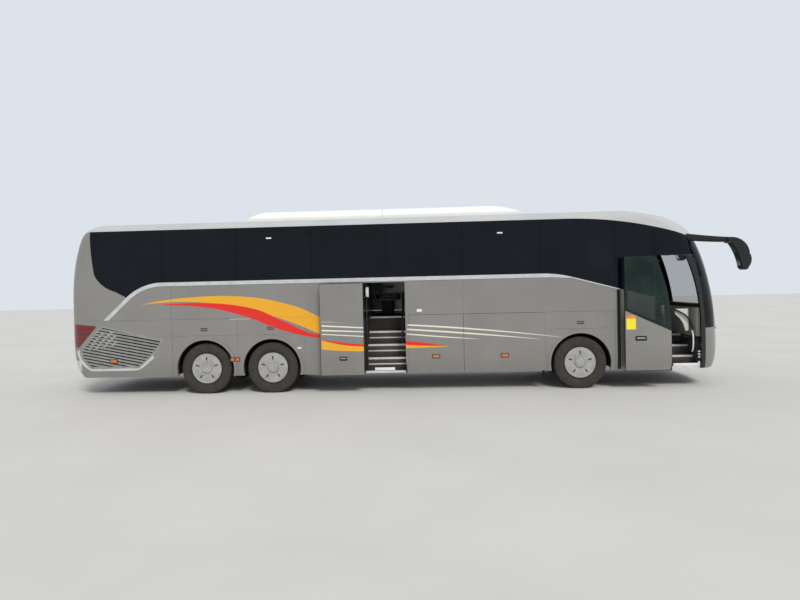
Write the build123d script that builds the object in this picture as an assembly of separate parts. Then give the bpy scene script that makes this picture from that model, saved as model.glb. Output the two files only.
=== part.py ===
from build123d import *
import math
import os
from collections import namedtuple

os.makedirs("parts", exist_ok=True)

# Axles and overall size, X forward, Y to the left, Z up from the ground
FRONT_AXLE_X = 3577.5
WHEELBASE = 6080.0
BOGIE_SPREAD = 1350.0
DRIVE_AXLE_X = FRONT_AXLE_X - WHEELBASE
TAG_AXLE_X = DRIVE_AXLE_X - BOGIE_SPREAD
SKIRT_Z = 365.0

# Wall make-up
WALL = 55.0
PANE = 8.0
PANE_GAP = 6.0
SEAL = 0.3
SHUT_GAP = 6.0
GROOVE_WIDTH = 6.0
GROOVE_DEPTH = 6.0

# Side features, distances forward of the front axle and heights
WAIST_Z = 2263.0
MOULDING_HEIGHT = 75.0
MOULDING_TIP = 22.0
MOULDING_PROUD = 10.0
PANEL_LINE_Z = 1514.0
COVER_LINE_Z = 1180.0
WINDOW_TOP_Z = 3320.0
TAIL_JOINT = -9800.0
SCREEN_BOTTOM_Z = 1147.0
SCREEN_TOP_Z = 2926.0
SCREEN_EDGE_X = 2385.0
SCREEN_TOP_X = 2127.0

# Doorways and how far an open leaf stands from its doorway
LEAF_OUT = 200.0
FRONT_LEAF_BACK = 635.0
MID_LEAF_BACK = 825.0
FRONT_DOOR_REAR = 1425.0
FRONT_DOOR_TOP = 2560.0

# Wheels
TYRE_RADIUS = 510.0
TYRE_WIDTH = 290.0
BEAD_RADIUS = 286.0
TYRE_FACE_Y = 1230.0
TWIN_PITCH = 330.0
ARCH_RADIUS = 580.0
LIP_RADIUS = 638.0
LIP_PROUD = 12.0
HOUSING_RADIUS = 614.0
HOUSING_SHEET = 12.0
HOUSING_INNER_Y = 560.0

# Floors
DECK_Z = 1440.0
DECK_THICK = 40.0
CAB_FLOOR_Z = 960.0
BAY_FLOOR_Z = 400.0
SHEET = 25.0

# Horizontal outlines of the body: nose and tail are the centre line's ends
Level = namedtuple("Level", "z nose tail half front_r rear_r")
LEVELS = [
    Level(365, 2745, -10120, 1256, 520, 280),
    Level(520, 2795, -10215, 1270, 520, 280),
    Level(900, 2820, -10290, 1275, 520, 280),
    Level(1500, 2788, -10295, 1275, 520, 280),
    Level(2200, 2660, -10278, 1273, 520, 280),
    Level(2750, 2475, -10215, 1248, 500, 280),
    Level(3050, 2290, -10140, 1231, 480, 280),
    Level(3200, 2110, -10085, 1222, 470, 280),
    Level(3300, 1900, -10020, 1210, 460, 280),
    Level(3370, 1650, -9930, 1185, 440, 270),
    Level(3420, 1400, -9840, 1135, 420, 260),
    Level(3455, 1150, -9740, 1060, 400, 250),
]
CEILING_Z = 3420.0
CROWN_Z = 3520.0
NOSE_SWEEP = 4200.0
TAIL_SWEEP = 9000.0

# Mark of an outline point that is the middle of an arc between its neighbours
BEND = "bend"


def fx(forward):
    """X of a point so far forward of the front axle."""
    return FRONT_AXLE_X + forward


def corner(half, radius, sweep):
    """Run from an end arc to its corner arc's centre, and where the two meet."""
    run = math.sqrt((sweep - radius) ** 2 - (half - radius) ** 2)
    reach = math.hypot(run, half - radius)
    meet_x = sweep - run / reach * sweep
    meet_y = (half - radius) / reach * sweep
    return sweep - run, meet_x, meet_y, math.atan2(half - radius, run)


def outline(z, nose, tail, half, front_r, rear_r):
    """Closed horizontal outline: straight sides, bowed ends, round corners."""
    nose_run, nose_dx, nose_y, nose_angle = corner(half, front_r, NOSE_SWEEP)
    tail_run, tail_dx, tail_y, tail_angle = corner(half, rear_r, TAIL_SWEEP)
    front = fx(nose) - nose_run
    rear = fx(tail) + tail_run
    a = (nose_angle + math.pi / 2) / 2
    b = (tail_angle + math.pi / 2) / 2
    front_mid_x = front + front_r * math.cos(a)
    front_mid_y = half - front_r + front_r * math.sin(a)
    rear_mid_x = rear - rear_r * math.cos(b)
    rear_mid_y = half - rear_r + rear_r * math.sin(b)
    nose_x = fx(nose) - nose_dx
    tail_x = fx(tail) + tail_dx
    edges = [
        Line((rear, -half, z), (front, -half, z)),
        ThreePointArc((front, -half, z), (front_mid_x, -front_mid_y, z), (nose_x, -nose_y, z)),
        ThreePointArc((nose_x, -nose_y, z), (fx(nose), 0, z), (nose_x, nose_y, z)),
        ThreePointArc((nose_x, nose_y, z), (front_mid_x, front_mid_y, z), (front, half, z)),
        Line((front, half, z), (rear, half, z)),
        ThreePointArc((rear, half, z), (rear_mid_x, rear_mid_y, z), (tail_x, tail_y, z)),
        ThreePointArc((tail_x, tail_y, z), (fx(tail), 0, z), (tail_x, -tail_y, z)),
        ThreePointArc((tail_x, -tail_y, z), (rear_mid_x, -rear_mid_y, z), (rear, -half, z)),
    ]
    return make_face(Wire(edges))


def body_form(inset, low_z, high_z):
    """Body volume between two levels with its skin moved inwards by inset."""
    faces = []
    last = len(LEVELS) - 1
    for i, level in enumerate(LEVELS):
        below = LEVELS[max(i - 1, 0)]
        above = LEVELS[min(i + 1, last)]
        rise = above.z - below.z
        side = inset * math.hypot(1, (above.half - below.half) / rise)
        front = inset * math.hypot(1, (above.nose - below.nose) / rise)
        back = inset * math.hypot(1, (above.tail - below.tail) / rise)
        half = level.half - side
        if not low_z <= level.z <= high_z:
            continue
        z = level.z - 30 if inset and i == 0 else level.z
        front_r = max(level.front_r - 0.6 * side, 120)
        rear_r = max(level.rear_r - 0.6 * side, 100)
        faces.append(outline(z, level.nose - front, level.tail + back, half, front_r, rear_r))
    return loft(faces)


def closed_face(points, place):
    """Face through placed points; a point marked BEND is the middle of an arc."""
    ring_points = points + points[:1]
    edges = []
    i = 0
    while i < len(points):
        start = place(*ring_points[i][:2])
        following = ring_points[i + 1]
        if len(following) == 3:
            edges.append(ThreePointArc(start, place(*following[:2]), place(*ring_points[i + 2][:2])))
            i += 2
        else:
            edges.append(Line(start, place(*following)))
            i += 1
    return make_face(Wire(edges))


def rounded(points, cuts):
    """The outline with some corners rounded: cuts gives the length taken off beside each."""
    result = []
    for i, point in enumerate(points):
        if i not in cuts:
            result.append(point)
            continue
        ends = []
        for other in (points[i - 1], points[(i + 1) % len(points)]):
            reach = cuts[i] / math.hypot(other[0] - point[0], other[1] - point[1])
            ends.append((point[0] + (other[0] - point[0]) * reach, point[1] + (other[1] - point[1]) * reach))
        a, b = ends
        c = math.hypot(a[0] - b[0], a[1] - b[1]) / (2 * cuts[i])
        share = c / (1 + c)
        mid_x = (a[0] + b[0]) / 2
        mid_z = (a[1] + b[1]) / 2
        result += [a, (mid_x + (point[0] - mid_x) * share, mid_z + (point[1] - mid_z) * share, BEND), b]
    return result


def side_prism(points, y0, y1):
    """Solid with an outline of (forward of front axle, height) points."""
    face = closed_face(points, lambda x, z: Vector(fx(x), y0, z))
    return extrude(face, amount=y1 - y0, dir=(0, 1, 0))


def plan_prism(points, z0, z1):
    """Solid with an outline of (forward of front axle, y) points."""
    face = closed_face(points, lambda x, y: Vector(fx(x), y, z0))
    return extrude(face, amount=z1 - z0, dir=(0, 0, 1))


def front_prism(points, x0, x1):
    """Solid with an outline of (y, height) points, between two distances forward of the front axle."""
    face = closed_face(points, lambda y, z: Vector(fx(x0), y, z))
    return extrude(face, amount=x1 - x0, dir=(1, 0, 0))


def block(x0, x1, y0, y1, z0, z1):
    """Box between limits, x given forward of the front axle."""
    middle = Pos(fx((x0 + x1) / 2), (y0 + y1) / 2, (z0 + z1) / 2)
    return middle * Box(abs(x1 - x0), abs(y1 - y0), abs(z1 - z0))


def soft_block(x0, x1, y0, y1, z0, z1, radius, axis):
    """Box with the four edges along one axis rounded."""
    solid = block(x0, x1, y0, y1, z0, z1)
    return fillet(solid.edges().filter_by(axis), radius)


def bar(start, end, radius):
    """Round bar between two places."""
    path = end - start
    return extrude(Plane(origin=start, z_dir=path) * Circle(radius), amount=path.length)


def rod(start, end, radius):
    """Round bar between two points, x given forward of the front axle."""
    return bar(Vector(fx(start[0]), start[1], start[2]), Vector(fx(end[0]), end[1], end[2]), radius)


def group(shapes):
    """All solids of some shapes, as one compound."""
    solids = []
    for shape in shapes:
        solids.extend(shape.solids())
    return Compound(solids)


def joined(shapes):
    """Shapes fused to one."""
    result = shapes[0]
    for shape in shapes[1:]:
        result = result + shape
    return result


def mirrored(shape):
    """The same shape on the bus's other side."""
    return mirror(shape, about=Plane.XZ)


def save(name, shape):
    """Write one node."""
    shape.label = name
    export_step(shape, "parts/" + name + ".step")


# Body volume and the ring of wall
outer = body_form(0, SKIRT_Z, 3455)
inner = body_form(WALL, SKIRT_Z, CEILING_Z)
ring = outer - inner

# Waist line: it climbs from the panel line at the rear, bends over, and dips at the front
Turn = namedtuple("Turn", "x z radius")
REAR_TURN = Turn(-8269.0, WAIST_Z - 1092.0, 1092.0)
REAR_CLIMB = 42.7
FRONT_TURN = Turn(-729.0, WAIST_Z - 2237.0, 2237.0)
FRONT_FALL = 15.27


def on_turn(turn, degrees, drop):
    """Point of a bend, so far forward of its top, moved inwards by drop."""
    angle = math.radians(degrees)
    radius = turn.radius - drop
    return (turn.x + radius * math.sin(angle), turn.z + radius * math.cos(angle))


def waist_rear(drop):
    """Waist line from the panel line up to its level run."""
    low = on_turn(REAR_TURN, -REAR_CLIMB, drop)
    run = (low[1] - PANEL_LINE_Z - GROOVE_WIDTH) / math.tan(math.radians(REAR_CLIMB))
    middle = on_turn(REAR_TURN, -REAR_CLIMB / 2, drop)
    return [(low[0] - run, PANEL_LINE_Z + GROOVE_WIDTH), low, (*middle, BEND), on_turn(REAR_TURN, 0, drop)]


def waist_front(drop, end_x):
    """Waist line from its level run down towards the front door."""
    low = on_turn(FRONT_TURN, FRONT_FALL, drop)
    middle = on_turn(FRONT_TURN, FRONT_FALL / 2, drop)
    fall = math.tan(math.radians(FRONT_FALL)) * (end_x - low[0])
    return [on_turn(FRONT_TURN, 0, drop), (*middle, BEND), low, (end_x, low[1] - fall)]


# Zones of the wall
TOP = 3600.0
OUT = 1500.0
DEEP = 600.0
SCREEN_BOW = (2318.0, 1900.0, BEND)
ROOF_EDGE = [(SCREEN_TOP_X, SCREEN_TOP_Z), (1300, 3155, BEND), (-300, WINDOW_TOP_Z)]
side_zone = [(TAIL_JOINT, 300), (SCREEN_EDGE_X, 300), (SCREEN_EDGE_X, SCREEN_BOTTOM_Z), SCREEN_BOW]
side_zone = side_zone + ROOF_EDGE + [(TAIL_JOINT, WINDOW_TOP_Z)]
side_wall = ring & side_prism(side_zone, -OUT, -DEEP)

# Side glass outline: it dips at the rear corner and falls towards the screen
glass_points = [(-9757, 3400), (-9735, 2900, BEND), (-9669, 2444), (-9505, 2234, BEND), (-9247, 2101)]
glass_points += waist_rear(0)[1:]
glass_points += waist_front(0, FRONT_DOOR_REAR)
glass_points += [(2500, 1560), (2500, 3400)]
glass_zone = side_prism(glass_points, -OUT, -DEEP)

lower_wall = side_wall - glass_zone
upper_wall = side_wall & glass_zone
side_core = outer & block(-9790, 2450, -1400, -700, 1000, 3340)
pane_band = upper_wall - Pos(0, PANE, 0) * side_core
frame_band = upper_wall & (Pos(0, PANE + 1, 0) * side_core)

# Front doorway, its post, and its leaf with a glazed upper part
FRONT_LEAF = [(1431, 300), (2290, 300), (2288, 1250), (2225, 1860, BEND), (2018, 2548), (1431, 2548)]
FRONT_LEAF = rounded(FRONT_LEAF, {4: 40, 5: 40})
DOOR_POST = [(2297, 300), (2500, 300), (2500, 2557), (2024, 2557), (2232, 1860, BEND), (2295, 1250)]
LEAF_LINE = [(1400, 200), (2400, 200), (2400, 1065), (1400, 1530)]
FRONT_LIGHT = [(1476, 1555), (2190, 1222), (2196, 1300), (2135, 1860, BEND), (1945, 2495), (1476, 2495)]
FRONT_LIGHT = rounded(FRONT_LIGHT, {0: 30, 4: 40, 5: 40})
front_cut = block(FRONT_DOOR_REAR, 2500, -OUT, -DEEP, 300, FRONT_DOOR_TOP)
door_post = side_wall & side_prism(DOOR_POST, -OUT, -DEEP)
leaf_full = ring & side_prism(FRONT_LEAF, -OUT, -DEEP)
leaf_low_zone = side_prism(LEAF_LINE, -OUT, -DEEP)
leaf_top = leaf_full - leaf_low_zone
front_shift = Pos(-FRONT_LEAF_BACK, -LEAF_OUT, 0)
front_leaf = front_shift * (leaf_full & leaf_low_zone)
front_pane = front_shift * (leaf_top - Pos(0, PANE, 0) * side_core)
leaf_frame = (leaf_top & (Pos(0, PANE + 1, 0) * side_core)) - side_prism(FRONT_LIGHT, -OUT, -DEEP)
leaf_frame = front_shift * leaf_frame

# Mid doorway and its leaf
mid_doorway = block(-4220, -3400, -OUT, -DEEP, 300, 2165)
mid_leaf_full = ring & block(-4231, -3388, -OUT, -DEEP, 300, 2155)
mid_leaf = Pos(-MID_LEAF_BACK, -LEAF_OUT, 0) * mid_leaf_full


# Wheel arches with a raised lip
def arch(axle_x, radius, y0, y1):
    """Cylinder about a wheel's centre line."""
    disc = Plane(origin=(axle_x, y0, TYRE_RADIUS), z_dir=(0, 1, 0)) * Circle(radius)
    return extrude(disc, amount=y1 - y0)


AXLES = (FRONT_AXLE_X, DRIVE_AXLE_X, TAG_AXLE_X)
LIP_INNER_Y = 1235.0
low_core = outer & block(-10400, 2450, -1400, -700, SKIRT_Z, 2300)
arches = group([arch(x, ARCH_RADIUS, -OUT, -DEEP) for x in AXLES])
lip_discs = group([arch(x, LIP_RADIUS, -OUT, -LIP_INNER_Y) for x in AXLES])
lips = lip_discs & (Pos(0, -LIP_PROUD, 0) * low_core)
lower_wall = (lower_wall + lips) - arches

# Louvred grille behind the rear wheels; it runs round the rear corner
GRILLE = [(-9561, 1425), (-8262, 1118), (-8492, 822, BEND), (-8800, 548), (-9779, 548), (-9935, 690, BEND)]
GRILLE += [(-10032, 902)]
GRILLE_INNER = [(-9549, 1383), (-8328, 1094), (-8528, 832, BEND), (-8816, 588), (-9764, 588)]
GRILLE_INNER += [(-9900, 712, BEND), (-9981, 903)]
GRILLE_OUTER = [(-9700, 1340), (-8300, 760), (-8480, 740), (-8790, 498), (-9795, 498), (-9975, 655, BEND)]
GRILLE_OUTER += [(-10088, 925), (-10030, 925)]
grille_points = rounded(GRILLE, {0: 70, 1: 60, 6: 50})
grille_hole = side_prism(grille_points, -OUT, -DEEP)

# Tail lamps reach forward to the grille
LAMP = [(-10500, 1460), (-10103, 1460), (-9641, 1413), (-10029, 980), (-10500, 980)]
LAMP = rounded(LAMP, {2: 50, 3: 40})
LAMP_INNER_Y = 870.0
lamp_zone = group([side_prism(LAMP, -OUT, -LAMP_INNER_Y), side_prism(LAMP, LAMP_INNER_Y, OUT)])
lower_wall = lower_wall - grille_hole - lamp_zone

right_wall = lower_wall - front_cut - mid_doorway
left_wall = mirrored(lower_wall)

# Joint lines of the panels: side (-1 right, 1 left, 0 both), limits
Joint = namedtuple("Joint", "side x0 x1 z0 z1")
HALF_GROOVE = GROOVE_WIDTH / 2
LINES = [
    Joint(-1, TAIL_JOINT, -4231, PANEL_LINE_Z, PANEL_LINE_Z),
    Joint(1, TAIL_JOINT, -5430, PANEL_LINE_Z, PANEL_LINE_Z),
    Joint(-1, -640, 755, PANEL_LINE_Z, PANEL_LINE_Z),
    Joint(1, -640, 2300, PANEL_LINE_Z, PANEL_LINE_Z),
    Joint(0, -8100, -8100, 300, 2230),
    Joint(0, -8100, -5403, COVER_LINE_Z, COVER_LINE_Z),
    Joint(0, -6765, -6765, 300, PANEL_LINE_Z),
    Joint(-1, -5403, -5403, 300, PANEL_LINE_Z),
    Joint(0, -2261, -2261, PANEL_LINE_Z + 20, WAIST_Z),
    Joint(0, -640, 663, COVER_LINE_Z, COVER_LINE_Z),
    Joint(0, 663, 663, 300, PANEL_LINE_Z),
]


def grooves(side):
    """Shallow slots along the joint lines of one side, cut to their depth in the skin."""
    core = Pos(0, GROOVE_DEPTH, 0) * low_core
    slots = []
    for line in LINES:
        if line.side == -side:
            continue
        x0, x1 = line.x0 - HALF_GROOVE, line.x1 + HALF_GROOVE
        z0, z1 = line.z0 - HALF_GROOVE, line.z1 + HALF_GROOVE
        slots.append(block(x0, x1, -1290, -1200, z0, z1))
    cut = joined(slots) - core - lip_discs
    return cut if side < 0 else mirrored(cut)


right_wall = right_wall - grooves(-1)
left_wall = left_wall - grooves(1)

# Luggage flaps: name, side (-1 right), rear and front edges
Flap = namedtuple("Flap", "name side rear front")
FLAPS = [
    Flap("flap_right_front", -1, -2261, -670),
    Flap("flap_right_rear", -1, -3340, -2261),
    Flap("flap_left_front", 1, -2261, -670),
    Flap("flap_left_mid", 1, -3832, -2261),
    Flap("flap_left_rear", 1, -5403, -3832),
]
FLAP_Z0 = 375.0

flaps = {}
for flap in FLAPS:
    y0, y1 = sorted((flap.side * OUT, flap.side * DEEP))
    hole = block(flap.rear, flap.front, y0, y1, 300, PANEL_LINE_Z)
    half_gap = SHUT_GAP / 2
    panel = block(flap.rear + half_gap, flap.front - half_gap, y0, y1, FLAP_Z0, PANEL_LINE_Z - SHUT_GAP)
    if flap.side < 0:
        flaps[flap.name] = right_wall & panel
        right_wall = right_wall - hole
    else:
        flaps[flap.name] = left_wall & panel
        left_wall = left_wall - hole
for name, shape in flaps.items():
    save(name, shape)
save("wall_right", group([right_wall]))
save("wall_left", group([left_wall]))

# Slats and border of the grille: thick blades that slope down towards the front
SLAT_PITCH = 62.0
SLAT_HEIGHT = 36.0
SLAT_FALL = 0.2
SLAT_COUNT = 16
SLAT_LOW_Z = 500.0
SLAT_REAR = -10060.0
SLAT_FRONT = -8250.0
grille_skin = ring & grille_hole
inner_points = rounded(GRILLE_INNER, {0: 60, 1: 50, 6: 40})
slats = [grille_hole - side_prism(inner_points, -OUT, -DEEP)]
half_fall = SLAT_FALL * (SLAT_FRONT - SLAT_REAR) / 2
for i in range(SLAT_COUNT):
    z = SLAT_LOW_Z + i * SLAT_PITCH
    blade = [(SLAT_REAR, z + half_fall), (SLAT_FRONT, z - half_fall)]
    blade += [(SLAT_FRONT, z - half_fall + SLAT_HEIGHT), (SLAT_REAR, z + half_fall + SLAT_HEIGHT)]
    slats.append(side_prism(blade, -OUT, -DEEP))
grille = grille_skin & joined(slats)
save("grilles", group([grille, mirrored(grille)]))

# Windows in the pillars, and the joints of the panes over them
PANE_JOINTS = [-8270, -6765, -5250, -3755, -2261, -750, 690, FRONT_DOOR_REAR + PANE_GAP]
PILLAR = 110.0
WINDOW_Z0 = 2330.0
WINDOW_Z1 = 3250.0
WINDOW_CORNER = 60.0
DRIVER_WINDOW = [(790, 2060), (2140, 1700), (2170, 1850), (2010, 2720), (790, 3120)]
edges = [-9560] + PANE_JOINTS[:-1]
windows = []
for rear, front in zip(edges[:-1], edges[1:]):
    x0 = rear + PILLAR / 2
    x1 = front - PILLAR / 2
    windows.append(soft_block(x0, x1, -OUT, -DEEP, WINDOW_Z0, WINDOW_Z1, WINDOW_CORNER, Axis.Y))
joint_cuts = group([block(x - PANE_GAP / 2, x + PANE_GAP / 2, -OUT, -DEEP, 1400, 3400) for x in PANE_JOINTS])
frame_right = frame_band - group(windows) - joint_cuts
driver_window = side_prism(rounded(DRIVER_WINDOW, {0: 60, 1: 40, 3: 60, 4: 60}), DEEP, OUT)
frame_left = mirrored(frame_right) - driver_window
frame_right = frame_right - front_cut
save("window_frames", group([frame_right, frame_left]))
save("front_door_frame", group([leaf_frame, door_post]))

panes_right = pane_band - joint_cuts
panes_left = mirrored(panes_right)
panes_right = panes_right - front_cut

# Tail: rear window, engine lid, lamps
tail_wall = ring & block(-10500, TAIL_JOINT, -OUT, OUT, 300, WINDOW_TOP_Z)
REAR_WINDOW_Z = (2290.0, 3160.0)
REAR_WINDOW_HALF = 980.0
LID_Z = (760.0, 1900.0)
LID_HALF = 860.0
rear_window_hole = soft_block(
    -10500, -9700, -REAR_WINDOW_HALF, REAR_WINDOW_HALF, *REAR_WINDOW_Z, 90, Axis.X
)
tail_core = outer & block(-10500, -9600, -1000, 1000, 2200, 3240)
rear_pane = (tail_wall & rear_window_hole) - Pos(2 * PANE, 0, 0) * tail_core
lid_hole = block(-10500, -9700, -LID_HALF, LID_HALF, *LID_Z)
lid_edge = LID_HALF - SHUT_GAP
lid_panel = block(-10500, -9700, -lid_edge, lid_edge, LID_Z[0] + SHUT_GAP, LID_Z[1] - SHUT_GAP)
LOUVRE_COUNT = 7
LOUVRE_Z0 = 860.0
LOUVRE_PITCH = 48.0
LOUVRE_HEIGHT = 20.0
LOUVRE_HALF = 620.0
louvres = []
for i in range(LOUVRE_COUNT):
    z = LOUVRE_Z0 + i * LOUVRE_PITCH
    louvres.append(block(-10500, -9700, -LOUVRE_HALF, LOUVRE_HALF, z, z + LOUVRE_HEIGHT))
engine_lid = (tail_wall & lid_panel) - group(louvres)
tail_lamps = ring & lamp_zone
both_grilles = group([grille_hole, mirrored(grille_hole)])
bumper_cut = block(-10500, TAIL_JOINT, -OUT, OUT, 300, 740)
rear_bumper = (tail_wall & bumper_cut) - both_grilles
tail_wall = tail_wall - rear_window_hole - lid_hole - lamp_zone - bumper_cut - both_grilles
save("tail_wall", group([tail_wall]))
save("engine_lid", group([engine_lid]))
save("tail_lamps", group([tail_lamps]))
save("side_glass", group([panes_right, panes_left, rear_pane]))

# Nose: mask, lamps, bumper with its air slots, screen
NOSE_END = 3000.0
FRONT_ZONE = [(SCREEN_EDGE_X, 300), (NOSE_END, 300), (NOSE_END, SCREEN_BOTTOM_Z)]
FRONT_ZONE += [(SCREEN_EDGE_X, SCREEN_BOTTOM_Z)]
SCREEN_ZONE = [(SCREEN_EDGE_X, SCREEN_BOTTOM_Z), (NOSE_END, SCREEN_BOTTOM_Z), (NOSE_END, SCREEN_TOP_Z)]
SCREEN_ZONE += [(SCREEN_TOP_X, SCREEN_TOP_Z), SCREEN_BOW]
front_wall = ring & side_prism(FRONT_ZONE, -OUT, OUT)
HEADLAMP = [(-500, 750), (-860, 720), (-935, 790), (-950, 930), (-860, 985), (-540, 880)]
headlamp = front_prism(rounded(HEADLAMP, {0: 40, 1: 40, 2: 40, 3: 40, 4: 60, 5: 60}), SCREEN_EDGE_X, NOSE_END)
headlamp_zone = group([headlamp, mirrored(headlamp)])
headlamps = front_wall & headlamp_zone
BUMPER_TOP_Z = 660.0
nose_bumper_cut = block(SCREEN_EDGE_X, NOSE_END, -OUT, OUT, 300, BUMPER_TOP_Z)
AIR_SLOT_Z = (430.0, 485.0, 540.0)
air_slots = [soft_block(2500, NOSE_END, -520, 520, z, z + 34, 12, Axis.X) for z in AIR_SLOT_Z]
front_bumper = (front_wall & nose_bumper_cut) - group(air_slots)
nose_mask = front_wall - headlamp_zone - nose_bumper_cut
screen_core = body_form(2 * PANE, 900, 3200) & block(1900, 3000, -OUT, OUT, 1000, 3100)
screen = (ring & side_prism(SCREEN_ZONE, -OUT, OUT)) - screen_core
save("nose_mask", group([nose_mask]))
save("headlamps", group([headlamps]))
save("bumpers", group([front_bumper, rear_bumper]))
save("windshield", group([screen]))

# Roof with one hatch, and the cooling unit's fairing
HATCH_X = (-8350.0, -7550.0)
HATCH_HALF = 400.0
HATCH_GAP = 14.0
roof_corners = [(-10500, WINDOW_TOP_Z), (-10500, TOP), (NOSE_END, TOP), (NOSE_END, SCREEN_TOP_Z)]
roof_zone = side_prism(roof_corners + ROOF_EDGE, -OUT, OUT)
roof = ring & roof_zone
crown_arc = ThreePointArc((fx(-9740), -1060, 3455), (fx(-9740), 0, CROWN_Z), (fx(-9740), 1060, 3455))
crown_base = Line((fx(-9740), 1060, 3455), (fx(-9740), -1060, 3455))
crown = extrude(make_face(Wire([crown_arc, crown_base])), amount=10890, dir=(1, 0, 0))
crown = crown & side_prism([(-9700, 3454), (-9300, 3521), (300, 3521), (1130, 3454)], -OUT, OUT)
# The crown ends inside the rounded corners of the topmost outline
top = LEVELS[-1]
crown_plan = outline(top.z - 1, top.nose - 8, top.tail + 8, top.half - 8, top.front_r, top.rear_r)
crown = crown & extrude(crown_plan, amount=CROWN_Z - top.z + 10, dir=(0, 0, 1))
roof = roof + crown
hatch_hole = block(*HATCH_X, -HATCH_HALF, HATCH_HALF, 3300, TOP)
hatch_edge = HATCH_HALF - HATCH_GAP
hatch_cover = block(HATCH_X[0] + HATCH_GAP, HATCH_X[1] - HATCH_GAP, -hatch_edge, hatch_edge, 3300, TOP)
hatch = roof & hatch_cover
roof = roof - hatch_hole
save("roof", group([roof]))
save("roof_hatch", group([hatch]))

POD_LOW_Z = 3380.0
POD_SIDE = [(-6640, POD_LOW_Z), (-6640, 3478), (-6330, 3642, BEND), (-5650, 3710)]
POD_SIDE += [(-2300, 3690), (-1480, 3640, BEND), (-1010, 3500), (-1010, POD_LOW_Z)]
POD_SECTION = [(-950, POD_LOW_Z), (-950, 3520), (-850, 3628, BEND), (-640, 3672), (0, 3705, BEND)]
POD_SECTION += [(640, 3672), (850, 3628, BEND), (950, 3520), (950, POD_LOW_Z)]
pod = side_prism(POD_SIDE, -950, 950) & front_prism(POD_SECTION, -7000, -500)
pod = pod - Pos(0, 0, SEAL) * outer - Pos(0, 0, SEAL) * crown
save("cooling_pod", group([pod]))

# Mouldings: along the waist, and under the grille
MOULDING_END_X = 766.0
TAPER_X = -560.0
strip_points = waist_rear(0) + waist_front(0, MOULDING_END_X)
strip_points += [waist_front(MOULDING_TIP, MOULDING_END_X)[3], on_turn(FRONT_TURN, FRONT_FALL, MOULDING_TIP)]
strip_points += [(TAPER_X, WAIST_Z - MOULDING_HEIGHT)] + waist_rear(MOULDING_HEIGHT)[::-1]
proud_core = Pos(0, -MOULDING_PROUD, 0) * low_core
strip = side_prism(strip_points, -OUT, -DEEP) & proud_core
sill_points = rounded(GRILLE_OUTER, {3: 120, 4: 60})
sill = (side_prism(sill_points, -OUT, -DEEP) - grille_hole) & proud_core
SILL_LIMIT = [(-10300, 300), (-8480, 300), (-8480, 800), (-8900, 800), (-9900, 940), (-10300, 940)]
sill = sill & side_prism(SILL_LIMIT, -OUT, -DEEP)
mouldings = group([strip, sill]) - Pos(0, -SEAL, 0) * low_core
save("waist_mouldings", group([mouldings, mirrored(mouldings)]))

save("front_door_leaf", group([front_leaf]))
save("front_door_glass", group([front_pane]))
save("mid_door_leaf", group([mid_leaf]))

# Arms that carry the open leaves, each ending in a pad against its leaf
DoorArm = namedtuple("DoorArm", "post_x top leaf_x pads")
DOOR_ARMS = [
    DoorArm(1470, 2540, 1215, ((1010, -1417), (2450, -1404))),
    DoorArm(-4180, 2140, -4600, ((900, -1417), (1880, -1417))),
]
POST_Y = -1130.0
POST_RADIUS = 22.0
ARM_RADIUS = 16.0
ELBOW_RADIUS = 22.0
PAD_HALF = 45.0
PAD_THICK = 12.0
arms = []
for arm in DOOR_ARMS:
    post = rod((arm.post_x, POST_Y, BAY_FLOOR_Z + SEAL), (arm.post_x, POST_Y, arm.top), POST_RADIUS)
    for z, pad_y in arm.pads:
        elbow = (arm.post_x + 15, -1290, z)
        post = post + rod((arm.post_x, POST_Y, z), elbow, ARM_RADIUS)
        post = post + Pos(fx(elbow[0]), elbow[1], z) * Sphere(ELBOW_RADIUS)
        post = post + rod(elbow, (arm.leaf_x, pad_y + 2 * PAD_THICK, z), ARM_RADIUS)
        pad_x = (arm.leaf_x - PAD_HALF, arm.leaf_x + PAD_HALF)
        post = post + block(*pad_x, pad_y, pad_y + PAD_THICK, z - 25, z + 25)
    arms.append(post)
save("door_arms", group(arms))

# Passenger deck, cab floor, steps between them
deck = block(-9900, 900, -1190, 1190, DECK_Z - DECK_THICK, DECK_Z)
deck = deck - block(-4280, -3340, -1300, -330, 1300, 1500)
CAB_PLAN = [(880, -330), (2600, -330), (2680, 0), (2600, 700), (2400, 1060), (2250, 1180), (880, 1180)]
cab = plan_prism(CAB_PLAN, CAB_FLOOR_Z - DECK_THICK, CAB_FLOOR_Z)
riser = block(880, 900, -1190, 1190, CAB_FLOOR_Z - DECK_THICK, DECK_Z)
ledge = block(880, 1400, -1190, -330, CAB_FLOOR_Z - DECK_THICK, CAB_FLOOR_Z)
save("deck", joined([deck, riser, cab, ledge]))


# Stairwells: treads from the doorway inwards
def stairs(x0, x1, treads):
    """Sheet steps between two cheeks, from the skirt up to a floor."""
    pieces = []
    for i, (y, z) in enumerate(treads):
        depth_y = treads[i + 1][0] if i + 1 < len(treads) else -330
        pieces.append(block(x0, x1, y, depth_y + 20, z - 20, z))
        if i + 1 < len(treads):
            pieces.append(block(x0, x1, depth_y, depth_y + 20, z - 20, treads[i + 1][1]))
    return pieces


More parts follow.
